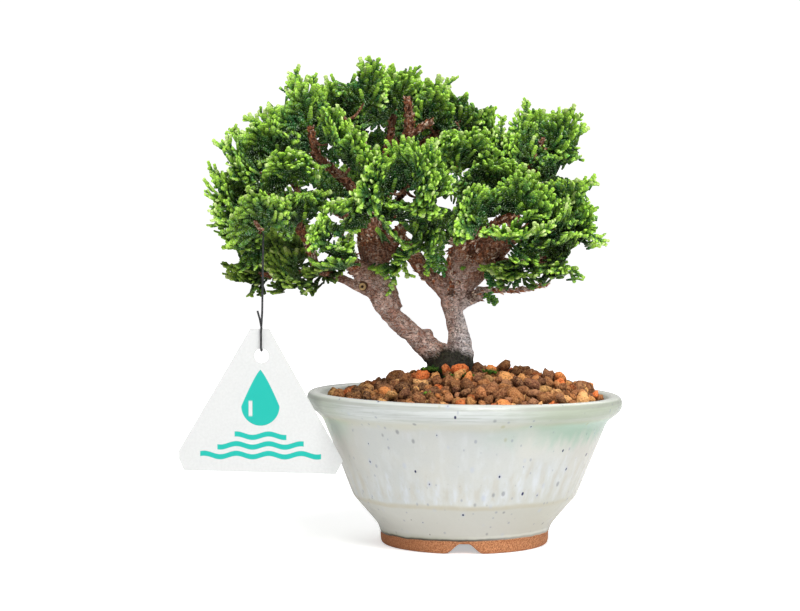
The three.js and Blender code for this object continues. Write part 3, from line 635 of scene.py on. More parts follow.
def bent_line(points, share):
    """A point on the smooth curve through points, at a share of the way from the first to the last."""
    points = [np.array(point[:3], float) for point in points]
    ends = [2 * points[0] - points[1]] + points + [2 * points[-1] - points[-2]]
    step = min(int(share * (len(points) - 1)), len(points) - 2)
    weight = share * (len(points) - 1) - step
    a, b, c, d = ends[step:step + 4]
    first, second, third = (max(np.linalg.norm(q - p), 1e-4) ** 0.5 for p, q in ((a, b), (b, c), (c, d)))
    leave = ((b - a) / first - (c - a) / (first + second) + (c - b) / second) * second
    arrive = ((c - b) / second - (d - b) / (second + third) + (d - c) / third) * second
    square, cube = weight ** 2, weight ** 3
    return (b * (2 * cube - 3 * square + 1) + leave * (cube - 2 * square + weight)
            + c * (3 * square - 2 * cube) + arrive * (cube - square))


# The sprays' plans are worked out here, because each needs its own twig.
sprays = {
    "left_stub": [(-56, -40, 139, 24), (-59, -42, 154, 20)],
    "low_left": [(-110, -25, 163, 24), (-107, -18, 146, 22), (-79, -36, 161, 22)],
    "tag_twig": [(-95, -46, 158, 22)],
    "low_left_tip": [(-104, 4, 132, 21), (-85, -16, 127, 19), (-67, -18, 128, 18), (-91, 6, 140, 22)],
    "left_middle": [(-106, -20, 181, 24), (-94, -18, 192, 22), (-83, -34, 178, 20)],
    "left_upper": [(-77, -20, 208, 24), (-62, -32, 197, 20), (-52, -38, 185, 20)],
    "top_left": [(-61, -12, 210, 22), (-45, -14, 219, 23)],
    "left_leader": [(-30, -10, 216, 22)],
    "top_right": [(-15, -10, 209, 22), (-4, 0, 208, 22), (8, 2, 196, 22), (-7, -26, 186, 22)],
    "left_front": [(-37, -48, 175, 24), (-20, -52, 177, 24), (-34, -44, 158, 22), (-12, -40, 166, 22)],
    "left_back": [(-112, 38, 167, 24), (-90, 42, 153, 24), (-67, 46, 175, 24)],
    "left_top_back": [(-82, 34, 201, 24), (-64, 38, 207, 24)],
    "centre_back": [(-40, 35, 214, 24), (-20, 38, 204, 24), (-45, 49, 191, 24)],
    "right_to_left": [(-34, -17, 135, 16), (-18, -22, 149, 20)],
    "right_leader": [(10, -22, 177, 22), (13, 20, 188, 22)],
    "right_front": [(4, -38, 160, 22), (22, -42, 145, 24), (24, -36, 164, 24)],
    "right_upper": [(29, -5, 194, 24), (45, 3, 197, 23), (46, 6, 182, 22)],
    "right_main": [(51, -8, 164, 26), (56, -4, 149, 26), (41, -30, 150, 26)],
    "right_low": [(50, -18, 135, 24), (22, -20, 128, 20)],
    "right_back": [(-7, 39, 159, 24), (26, 42, 174, 24), (46, 38, 165, 24)],
    "right_back_low": [(43, 36, 143, 24)],
}
CROWN_LEFT, CROWN_RIGHT = np.array([-48.0, 0, 165]), np.array([24.0, 0, 158])
ROOT_ROOM = 13.0
BLADE_THICK = 1.3


def unit(vector):
    return vector / np.linalg.norm(vector)


class Spray:
    """Where one spray grows: its bud on the limb, its root, its way, and the side that it shows."""

    def __init__(self, limb, number, middle, size):
        self.name = f"spray_{limb}_{number}"
        self.reach = 1.12 * size
        middle = np.array(middle, float)
        ways = [bent_line(limbs[limb], i / 40) for i in range(41)]
        best = int(np.argmin([np.linalg.norm(way - middle) for way in ways])) / 40
        self.bud = bent_line(limbs[limb], max(0.12, best - 0.08))
        crown = CROWN_LEFT if middle[0] < -10 else CROWN_RIGHT
        self.outward = unit(middle - crown)
        grow = 0.5 * unit(middle - self.bud) + 0.5 * self.outward + (0, 0, 0.3)
        grow[1] *= 0.4
        self.grow = unit(grow)
        self.root = middle - 0.5 * self.reach * self.grow
        self.heart = middle - 0.3 * self.reach * self.grow
        face = np.array([0.6 * self.outward[0], -0.8 if self.outward[1] < 0.15 else 0.8, 0.7])
        self.face = unit(face - face.dot(self.grow) * self.grow)
        self.across = np.cross(self.face, self.grow)


plans = [Spray(limb, i + 1, spot[:3], spot[3]) for limb, row in sprays.items() for i, spot in enumerate(row)]
for _ in range(30):
    for i, one in enumerate(plans):
        for other in plans[i + 1:]:
            apart = other.heart - one.heart
            missing = ROOT_ROOM - np.linalg.norm(apart)
            if missing > 0:
                shift = unit(apart) * missing / 4
                one.root, one.heart = one.root - shift, one.heart - shift
                other.root, other.heart = other.root + shift, other.heart + shift


def radius_at(points, share):
    """A limb's radius at a share of its length, from its points of (x, y, z, radius)."""
    return float(np.interp(share * (len(points) - 1), range(len(points)), [point[3] for point in points]))


def add_limb(points, smoothness=6):
    """A round, tapering tube through points of (x, y, z, radius)."""
    curve = bpy.data.curves.new("limb", "CURVE")
    curve.dimensions = "3D"
    curve.bevel_depth = MM
    curve.bevel_resolution = 3
    curve.use_fill_caps = True
    line = curve.splines.new("POLY")
    steps = smoothness * (len(points) - 1)
    line.points.add(steps)
    for i, point in enumerate(line.points):
        point.co = (*(bent_line(points, i / steps) * MM + (POT_X, 0, 0)), 1)
        point.radius = radius_at(points, i / steps)
    limb = bpy.data.objects.new("limb", curve)
    bpy.context.scene.collection.objects.link(limb)
    return limb


# Knots, the sawn stub and the swellings that the trunks have besides their branches.
burrs = [
    [(-44, -5, 124, 4.4), (-49, -10, 129, 4.0), (-54, -15, 134, 3.3)],
    [(-45, -4, 121, 2.8), (-47.8, -8, 122.4, 2.4), (-48.4, -11, 122.6, 2.1)],
    [(-22, 1, 96, 4.4), (-18.5, 0, 98.6, 4.0), (-15.4, -0.5, 99.6, 2.6)],
    [(-38, -2, 125, 4.8), (-36, -2, 118, 4.4), (-32.4, -1, 111, 4.2)],
    [(-36, -2, 116, 5.0), (-34.5, -4, 121, 3.2)],
    [(-42, 0, 130, 6.2), (-43, -2, 137, 7.6), (-44, -3, 144, 8.2), (-46, -4, 149, 5.4), (-49, -6, 155, 3.2)],
    [(-38, 0, 138, 4.2), (-33, 0, 146, 3.2), (-28, 0, 153, 2.2)],
    [(-4, 0, 120, 6.2), (2, -2, 128, 5.2), (8, -4, 135, 4.8), (14, -5, 141, 4.2), (21, -5, 146, 3.2),
     (28, -5, 150, 2)],
    [(-3, -3, 131, 4.4), (-1, -6, 141, 4.0), (4, -8, 149, 3.2), (8, -9, 156, 2.0)],
    [(-6, -2, 115.4, 4.0), (-13.2, -4, 122.6, 2.8), (-19.8, -5, 129.4, 2.4), (-25.8, -6, 137, 2.4),
     (-28.6, -6, 145, 1.8)],
    [(1, -2, 129, 4.8), (7, -2, 138, 4.4), (12, -1, 146, 3.2), (15, 0, 152, 2)],
    [(-6, -1, 126, 5.0), (-5, -2, 134, 4.2), (-2, -3, 142, 3.4)],
    [(-38, 3, 176, 2.2), (-31, -8, 184, 2.3), (-27, -14, 194, 2.4), (-26, -17, 204, 2.2),
     (-27, -18, 212, 1.4)],
    [(-27, -13, 193, 1.7), (-21, -14, 197, 1.7), (-15, -14, 201, 1.3)],
]
# Dead stubs on all the thick limbs, and buds round the trunks' heads. One skin covers all of them.
STUBS, BUDS_A_HEAD, SKIN_STEP = 46, 7, 0.72
stub_draw = np.random.default_rng(7)
stubs, buds = [], []
for _ in range(STUBS):
    name = stub_draw.choice([
        "left_trunk", "right_trunk", "right_main", "right_leader", "left_stub", "low_left", "left_leader",
        "right_to_left", "left_upper", "right_upper"])
    share = stub_draw.uniform(0.62, 0.98) if "trunk" in name else stub_draw.uniform(0.08, 0.7)
    spot, heft = bent_line(limbs[name], share), radius_at(limbs[name], share)
    way = unit(stub_draw.normal(size=3) * (1, 1, 0.5) + (0, -0.4, 0.3))
    tip = spot + way * (heft + stub_draw.uniform(0.4, 1.6))
    stubs.append([(*spot, 0.6 * heft), (*(spot + way * heft * 0.8), 0.34 * heft + 0.5), (*tip, 0.6)])
heads = {"left_trunk": (0.84, 1), "right_main": (0.1, 0.5),
         "right_leader": (0.05, 0.5), "left_stub": (0.1, 0.9)}
for name, (first, last) in heads.items():
    for _ in range(BUDS_A_HEAD):
        spot = bent_line(limbs[name], stub_draw.uniform(first, last))
        way = unit(stub_draw.normal(size=3) * (1, 0.7, 0.8) + (0, -0.5, 0.2))
        way *= 4.5 + stub_draw.uniform(1.5, 5)
        bend = stub_draw.normal(0, 0.8, 3)
        buds.append([(*spot, 1.6), (*(spot + way * 0.6 + bend), 1.1), (*(spot + way), 0.65)])
wood_parts = [add_limb(points) for points in [*limbs.values(), *burrs, *stubs, *buds]]
for spray in plans:
    sag = 0.5 * (spray.bud + spray.root) + (0, 0, -0.6)
    end = spray.root + 0.12 * spray.reach * spray.grow
    wood_parts.append(add_limb([(*spray.bud, 1.15), (*sag, 1.0), (*end, 0.7)], 3))
bpy.ops.object.select_all(action="DESELECT")
for part in wood_parts:
    part.select_set(True)
bpy.context.view_layer.objects.active = wood_parts[0]
bpy.ops.object.convert(target="MESH")
bpy.ops.object.join()
wood = bpy.context.active_object
changed_by(wood, "REMESH", mode="VOXEL", voxel_size=SKIN_STEP * MM)
changed_by(wood, "SMOOTH", factor=0.5, iterations=2)

# Each point of the skin takes the thickness of the limb nearest to it.
traced = [(bent_line(points, share), radius_at(points, share))
          for points in limbs.values() for share in np.linspace(0, 1, 6 * len(points))]
nearest = kdtree.KDTree(len(traced))
for i, (spot, _) in enumerate(traced):
    nearest.insert(Vector(spot), i)
nearest.balance()
limb_thickness = np.array([traced[nearest.find(Vector(spot))[1]][1] for spot in vertices_of(wood)])
thick_group = wood.vertex_groups.new(name="thick")
for i, amount in enumerate(smooth_rise(limb_thickness, 0.8, 4.5)):
    thick_group.add([i], 0.2 + 0.8 * float(amount), "REPLACE")
for name, size, depth, strength in (("bark_lumps", 11, 1, 2.6), ("bark_plates", 3.2, 3, 1.7)):
    texture = bpy.data.textures.new(name, "CLOUDS")
    texture.noise_scale, texture.noise_depth = size * MM, depth
    changed_by(wood, "DISPLACE", texture=texture, texture_coords="LOCAL", strength=strength * MM,
               mid_level=0.5, vertex_group="thick")
wood.vertex_groups.clear()
put_attribute(wood, "limb_thickness", limb_thickness)
bpy.ops.object.shade_smooth()

bark = Finish("cypress_bark", roughness=0.9, gloss=0.15)
place = bark.place()
x, y, z = bark.split(place)
girth = bark.attribute("limb_thickness")


def from_axis(knot_x, knot_z):
    """The distance from a line that runs straight back into the wood."""
    across, up = x - knot_x, z - knot_z
    return (across * across + up * up) ** 0.5


flakes = bark.noise(bark.stretch(place, (1, 1, 0.7)), 3.2, detail=4, roughness=0.6)
patches = bark.noise(place, 9, detail=2)
fibre = bark.noise(bark.stretch(place, (1, 1, 0.25)), 0.9)
scurf = bark.noise(bark.stretch(place, (1, 1, 1.8)), 1 / 0.34, detail=2.5, distortion=1.8)
crease = bark.noise(bark.stretch(place, (1, 1, 1.6)), 1 / 0.26, detail=2, roughness=0.5, distortion=2) - 0.5
fold = abs(crease).steps(0.04, 0.015)
ridge = abs(crease - 0.055).steps(0.035, 0.012)
lit_side = (x - z * 0.12 + patches * 14).steps(-15, -3) * z.steps(126, 112)
# Painted light: the right-hand side of the trunks lighter, and along the creases pale ridges as painted
# highlights beside dark folds as painted shade.
tone = bark.coats(
    (182, 136, 118),
    (flakes.steps(0.36, 0.62), (232, 198, 184)),
    (patches.steps(0.48, 0.62) * 0.6 * (1 - lit_side * 0.8), (166, 112, 94)),
    (lit_side * 0.9, (255, 250, 252)),
    (scurf.steps(0.54, 0.6) * (0.35 + 0.4 * lit_side), (236, 218, 208)),
    (scurf.steps(0.44, 0.38) * 0.6, (104, 68, 56)),
    (ridge * 0.55, (255, 246, 240)),
    (fold * 0.7, (62, 38, 32)))
# scars where branches came off
scar = bark.blend(scurf.steps(0.5, 0.58), (50, 32, 26), (204, 182, 164))
for knot_x, knot_z, wide in ((-6, 119.5, 2.6), (3.6, 117.6, 3.4), (-11, 126, 2.0), (-24, 118, 1.8)):
    ragged = from_axis(knot_x, knot_z) + (scurf - 0.5) * 5
    tone = bark.blend(ragged.steps(wide, wide * 0.6) * y.steps(-2, -4) * 0.8, tone, scar)
# the shaggy bark of thin limbs and of the left trunk's head, the algae at the foot and the sawn stub
shag = bark.coats(
    (96, 60, 44),
    (fibre.steps(0.35, 0.65), (166, 114, 86)),
    (scurf.steps(0.54, 0.62) * 0.7, (210, 182, 162)),
    (scurf.steps(0.44, 0.36) * 0.7, (60, 36, 26)))
head = (z + x * 0.44 + (patches - 0.5) * 10).steps(112, 117) * x.steps(-22, -26)
shaggy = bark.maths("MAXIMUM", girth.steps(4.6, 2.6) * (0.4 + 0.6 * z.steps(120, 132)), head * 0.9)
algae_height = z + abs(x + 7) * 0.36 + (patches - 0.5) * 8 + (scurf - 0.5) * 7
from_pith = from_axis(-48.4, 122.6)
rings = bark.coats((58, 38, 28), (from_pith.steps(0.5, 0.9), (206, 170, 122)),
                   (from_pith.steps(1.5, 1.9), (84, 58, 42)))
tone = bark.coats(
    tone, (shaggy, shag),
    (algae_height.steps(96, 91) * 0.95, bark.blend(fibre.steps(0.4, 0.7), (20, 26, 18), (52, 58, 38))),
    (y.steps(-9.5, -10.5) * from_pith.steps(3.0, 2.6), rings))
bark_height = flakes * 0.35 + scurf * 0.7 + fibre * 0.15 + ridge * 0.3 - fold * 0.4
bark.surface(base_color=tone, normal=bark.relief(bark_height, 0.9))
finished("tree", bark, "bark", "tree_wood")

# ---------------------------------------------------------------- foliage
# Sprays of scale leaves. Each is three fans of flat, blunt fingers on ribs, dark and bluish within the
# crown and yellow-green at the tips that reach the light. The dark within the crown is partly old leaves
# and partly painted shade, from how open each finger is to the light. All fingers are copies of two,
# laid on the fans' surfaces.
FINGER_GAP, RIB_STEP, TIP_REACH = 3.0, 0.8, 4.8


def finger_shape(sides, rings, along, widths, depths):
    """A blunt finger from 0 to 1 along X, with its half width and half depth at each of its rings."""
    bpy.ops.mesh.primitive_uv_sphere_add(segments=sides, ring_count=rings, radius=1)
    bpy.ops.object.mode_set(mode="EDIT")
    bpy.ops.mesh.select_all(action="SELECT")
    bpy.ops.transform.rotate(value=math.radians(90), orient_axis="Y", center_override=(0, 0, 0))
    bpy.ops.mesh.quads_convert_to_tris(quad_method="FIXED")
    bpy.ops.object.mode_set(mode="OBJECT")
    corners, faces = shape_taken()
    ring = np.arccos(np.clip(-corners[:, 0], -1, 1)) / math.pi * rings
    long, wide, deep = (np.interp(ring, range(rings + 1), values) for values in (along, widths, depths))
    around = np.maximum(np.hypot(corners[:, 1], corners[:, 2]), 1e-6)
    return long, wide * corners[:, 1] / around, deep * corners[:, 2] / around, np.array(faces)


# A whole finger has two pairs of scales that stand out at its edges before the blunt pair at its tip.
whole_finger = finger_shape(
    6, 7, (0, 0.04, 0.26, 0.36, 0.60, 0.70, 0.93, 1),
    (0, 0.55, 1.02, 0.74, 1.12, 0.84, 0.98, 0), (0, 0.6, 0.86, 0.8, 1.0, 0.86, 0.9, 0))
short_finger = finger_shape(5, 4, (0, 0.06, 0.5, 0.9, 1), (0, 0.6, 0.86, 1.0, 0), (0, 0.6, 0.85, 0.92, 0))


def seeded(seed):
    """The small generator that the sprays' shapes are drawn from."""
    state = [seed & 0xFFFFFFFF]

    def draw(low, high):
        state[0] = (state[0] + 0x6D2B79F5) & 0xFFFFFFFF
        t = ((state[0] ^ (state[0] >> 15)) * (1 | state[0])) & 0xFFFFFFFF
        t = ((t + (((t ^ (t >> 7)) * (61 | t)) & 0xFFFFFFFF)) & 0xFFFFFFFF) ^ t
        return low + (high - low) * ((t ^ (t >> 14)) & 0xFFFFFFFF) / 4294967296

    return draw


def half_ribs(length, draw):
    """The ribs of one half of a spray: each one's foot, angle and length."""
    lean = math.radians(draw(54, 62))
    outer_turn = lean + math.radians(draw(42, 46))

    def on_side_rib(share):
        return (length * (0.12 + share * math.cos(lean)), length * share * math.sin(lean) + 0.8)

    ribs = [(on_side_rib(share), outer_turn, length * reach * draw(0.88, 1.1)) for share, reach in
            ((0.1, 0.36), (0.44, 0.3))]
    ribs.append((on_side_rib(0), lean, length * draw(0.7, 0.82)))
    inner_turn = lean - math.radians(draw(34, 38))
    ribs.append((on_side_rib(0.48), inner_turn, length * draw(0.22, 0.28)))
    for share, turn, reach in ((0.36, 43, 0.32), (0.6, 38, 0.26)):
        turned_by = math.radians(turn + draw(-2, 2))
        ribs.append(((length * share, 0.9), turned_by, length * reach * draw(0.9, 1.1)))
    return ribs


class Fan:
    """The surface of one layer of a spray: flat places (u, v) go to points in space."""

    def __init__(self, spray, draw, share, lift=0.0, twist=0.0, pitch=0.0, lean=0.0, ruffle=1.6):
        self.length = share * spray.reach
        left = half_ribs(self.length, draw)
        right = [((u, -v), -turn, reach) for (u, v), turn, reach in half_ribs(self.length, draw)]
        self.ribs = [((0.0, 0.0), 0.0, self.length * 0.93)] + left + right
        self.phases = (draw(0, 6.3), draw(0, 6.3))
        self.cup, self.tilt, self.ruffle = draw(0.15, 0.4), draw(-0.35, 0.35), ruffle
        face = unit(spray.face + twist * spray.across + pitch * spray.grow + (0, 0, lean))
        self.grow = unit(spray.grow - spray.grow.dot(face) * face)
        self.face = face
        self.across = np.cross(face, self.grow)
        self.root = spray.root + lift * spray.face
        aways = [other.heart - spray.heart for other in plans if other is not spray]
        aways = np.array([away for away in aways if np.linalg.norm(away) < 60])
        lengths = np.linalg.norm(aways, axis=1)
        walls = aways / lengths[:, None]
        self.rise, self.ahead, self.aside = walls @ face, walls @ self.grow, walls @ self.across
        offsets = lengths / 2 - walls @ (self.root - spray.heart) - 0.5 * BLADE_THICK * np.abs(self.rise)
        self.offsets = np.maximum(offsets + 3.2, 3.2)

    def point(self, u, v):
        far = math.hypot(u, v)
        if far > 0.01:
            speed = (self.ahead * u + self.aside * v) / far
            room = float(np.min(np.where(speed > 1e-6, self.offsets / np.maximum(speed, 1e-6), 1e6)))
            free = 0.6 * room
            if far > free:
                kept = free + (room - free) * (1 - math.exp(-(far - free) / (room - free)))
                u, v = u * kept / far, v * kept / far
        wave = self.ruffle * math.sin(0.45 * u + self.phases[0]) * math.sin(0.5 * v + self.phases[1])
        lift = self.cup * (u * u + v * v) / self.length + self.tilt * v + wave * min(1, math.hypot(u, v) / 8)
        most = self.offsets - self.ahead * u - self.aside * v
        above, below = self.rise > 1e-4, self.rise < -1e-4
        if above.any():
            lift = min(lift, float(np.min(most[above] / self.rise[above])))
        if below.any():
            lift = max(lift, float(np.max(most[below] / self.rise[below])))
        return self.root + u * self.grow + v * self.across + lift * self.face


def grow_fingers(fan, rng, shape, lobes, fingers, lines):
    """Fingers in turn along both edges of each rib, some with lobes of their own, and one at its tip.

    A finger is its foot, its tip, its face, its size, its shape and how far out on the spray it is."""
    for rib_number, ((u, v), turn, length) in enumerate(fan.ribs):
        du, dv = math.cos(turn), math.sin(turn)
        reached, side = FINGER_GAP * rng.uniform(0.3, 0.8), rng.choice((-1, 1))
        here = fan.point(u, v)
        line = [here]
        steps = max(3, int(length / RIB_STEP))
        for i in range(1, steps + 1):
            t = length * i / steps
            last, here = here, fan.point(u + du * t, v + dv * t)
            gone = np.linalg.norm(here - last)
            if gone < 0.45 * length / steps:
                break
            reached += gone
            line.append(here)
            if reached < FINGER_GAP / 2 or t > length - RIB_STEP:
                continue
            reached = rng.uniform(-0.3, 0.3)
            side = -side
            angle = 0.8 * turn + side * math.radians(rng.uniform(22, 38))
            long = rng.uniform(5.4, 8.6) * (1 - 0.25 * t / length)
            ahead, aside = math.cos(angle) * long, math.sin(angle) * long
            bu, bv = u + du * t, v + dv * t
            flat_tip = fan.point(bu + ahead, bv + aside)
            raised = shape == 0 and rng.random() < 0.28
            tip = flat_tip + fan.face * (rng.uniform(1.8, 3.6) if raised else rng.normal(0.3, 0.8))
            out = max(math.hypot(bu, bv) / fan.length, 0.75 if raised else 0)
            fingers.append((here, tip, fan.face, 1.0, shape, out))
            for lobe_side, share in ((side, 0.4), (-side, 0.58)):
                if rng.random() < lobes:
                    lobe_angle = angle + lobe_side * math.radians(rng.uniform(28, 42))
                    lobe_long = rng.uniform(2.8, 4.2)
                    lobe_end = fan.point(bu + ahead * share + math.cos(lobe_angle) * lobe_long,
                                         bv + aside * share + math.sin(lobe_angle) * lobe_long)
                    lobe_end += 0.5 * share * (tip - flat_tip)
                    fingers.append((here + share * (tip - here), lobe_end, fan.face, 0.82, 1, out))
        tip = fan.point(u + du * (t + TIP_REACH), v + dv * (t + TIP_REACH))
        out = math.hypot(u + du * t, v + dv * t) / fan.length
        fingers.append((here - 0.4 * (tip - here), tip, fan.face, 1.05, shape, out))
        lines.append((line[::4] + [line[-1]], 0.8 if rib_number == 0 else 0.62))


# Open places in the crown as they show from the front: x, z, half width and half height. In the bared
# ones only the leaves before the wood are missing, up to the depth given.
openings = [
    (56, 135, 7, 7.5), (53, 177.5, 8.5, 4.5), (46, 120.5, 8, 6), (9, 213.5, 6.5, 6), (27, 117.5, 11, 3.2),
    (-58, 226, 6.2, 6.5), (-110, 121.5, 8, 4), (-3, 219.5, 5.5, 5), (-112, 136.5, 5, 3),
    (-83, 118.5, 6, 3.2), (68, 153.6, 5, 5), (58.5, 191, 4.2, 6), (-65.7, 120.5, 4.5, 3.2),
    (-118, 183.5, 3, 5), (-90, 213.5, 4.5, 4), (-9.2, 163, 5.4, 3.4), (61.5, 166, 3, 4),
    (-8.6, 138, 4, 5.4), (-25, 131.5, 6, 3.4), (-61, 156, 6, 2.5), (-63.4, 145.4, 3, 3), (-29, 230, 3, 3),
    (-74, 170, 3.6, 2), (-42.5, 236.5, 4, 3.6), (62.5, 180.5, 4.5, 4),
]
bared = [
    (-43, 139, 10, 7, 2), (10, 139.5, 13, 6.5, 2), (-20, 134, 7, 5.5, 2), (-72, 194, 4.5, 5, -15),
    (-67, 187, 4.5, 5, -15), (-61.5, 180.5, 4.5, 4.5, -12), (-56, 174.5, 4.5, 4.5, -8),
]
open_places = np.array([(*opening, math.inf) for opening in openings] + bared)


def missing(spots):
    """Which of the spots lie in an open place, as the camera sees them."""
    near = CAMERA_DISTANCE / (CAMERA_DISTANCE + spots[:, 1] * MM)
    eye = CAMERA_HEIGHT / MM
    across, up = spots[:, 0] * near, eye + (spots[:, 2] - eye) * near
    x, z, wide, high, depth = open_places.T[..., None]
    return ((((across - x) / wide) ** 2 + ((up - z) / high) ** 2 < 1) & (spots[:, 1] < depth)).any(axis=0)


growths = []
for number, spray in enumerate(plans):
    rng = np.random.default_rng(900 + number)
    fingers, lines = [], []
    upper = Fan(spray, seeded(1000 + number), 0.93, twist=rng.uniform(-0.2, 0.2), lean=0.35)
    grow_fingers(upper, rng, 0, 0.34, fingers, lines)
    more = seeded(5000 + number)
    lower = Fan(spray, more, 0.8, lift=-3.4, twist=rng.uniform(-0.5, 0.5), pitch=-0.4, lean=0.3)
    grow_fingers(lower, rng, 1, 0.2, fingers, lines)
    inner = Fan(spray, more, 0.7, lift=-4.6, twist=rng.uniform(-0.6, 0.6), pitch=0.4)
    grow_fingers(inner, rng, 1, 0.0, fingers, lines)
    feet, tips = (np.array([finger[end] for finger in fingers]) for end in (0, 1))
    gone = missing(tips) | missing((tips + feet) / 2)
    fingers = [finger for finger, lost in zip(fingers, gone) if not lost]
    for i, (line, thick) in enumerate(lines):
        lost = missing(np.array(line))
        lines[i] = (line[:int(np.argmax(lost))] if lost.any() else line, thick)
    growths.append((spray, fingers, [(line, thick) for line, thick in lines if len(line) > 1]))

# How open to the light each finger is: the leaves between it and the sky, counted in a coarse grid.
GRID = 5.0
tips = np.array([finger[1] for _, fingers, _ in growths for finger in fingers])
grid_low = tips.min(0) - 8 * GRID
cells = np.zeros(np.ceil((tips.max(0) - grid_low) / GRID).astype(int) + 9)
np.add.at(cells, tuple(((tips - grid_low) / GRID).astype(int).T), 1)
sky_ways = [unit(np.array(way)) for way in (
    (0.0, 0, 1), (-0.5, -0.5, 0.8), (0.5, -0.6, 0.7), (-0.9, -0.3, 0.2), (0.9, -0.2, 0.3), (0, -1, 0.1),
    (0, 1, 0.4))]


def openness(spots):
    total = np.zeros(len(spots))
    for way in sky_ways:
        cover = np.zeros(len(spots))
        for step in range(1, 7):
            cover += cells[tuple(((spots + way * step * GRID * 0.9 - grid_low) / GRID).astype(int).T)]
        total += np.exp(-cover / 9)
    return total / len(sky_ways)


leaf = Finish("scale_leaves", roughness=0.42, gloss=0.12)
fresh, shade, olive = (leaf.attribute(name) for name in ("fresh", "shade", "faded"))
place = leaf.place()
hue = leaf.noise(place, 4.5, roughness=0.7).steps(0.36, 0.64)
fleck = leaf.noise(place, 0.5, detail=2)
scale_u, scale_v, _ = leaf.split(leaf.node("ShaderNodeUVMap", {"uv_map": "scales"}))
chevron = leaf.maths("FRACT", scale_u + abs(scale_v) * 0.45)
tone = leaf.coats(
    leaf.blend(hue, (1, 30, 14), (14, 38, 0)),
    (shade, leaf.blend(hue, (94, 186, 100), (166, 218, 60))),
    (fresh.steps(0.02, 0.6), leaf.blend(fleck.steps(0.3, 0.7), (162, 230, 54), (214, 250, 112))),
    (fresh.steps(0.7, 1.0) * 0.65, (230, 246, 176)),
    # the scales' pale edges, partly their waxy bloom and partly a painted highlight, then the dark seams
    # between the scales, partly joints and partly painted shade
    (chevron.steps(0.72, 0.9) * (1 - fresh) * (0.1 + 0.9 * fleck.steps(0.46, 0.58)), (196, 220, 184)),
    (chevron.steps(0.28, 0.04) * 0.9 * (1 - fresh * 0.45), (4, 14, 4)),
    (olive * 0.55, leaf.blend(fresh, (52, 56, 22), (156, 158, 82))))
leaf.surface(base_color=tone, normal=leaf.relief(chevron, 0.6))
# The share that has faded to olive, on the sprays that hang lowest and get the least light.
faded = {"low_left_tip": 0.8, "tag_twig": 0.25, "right_low": 0.35, "right_back_low": 0.4, "low_left": 0.15}


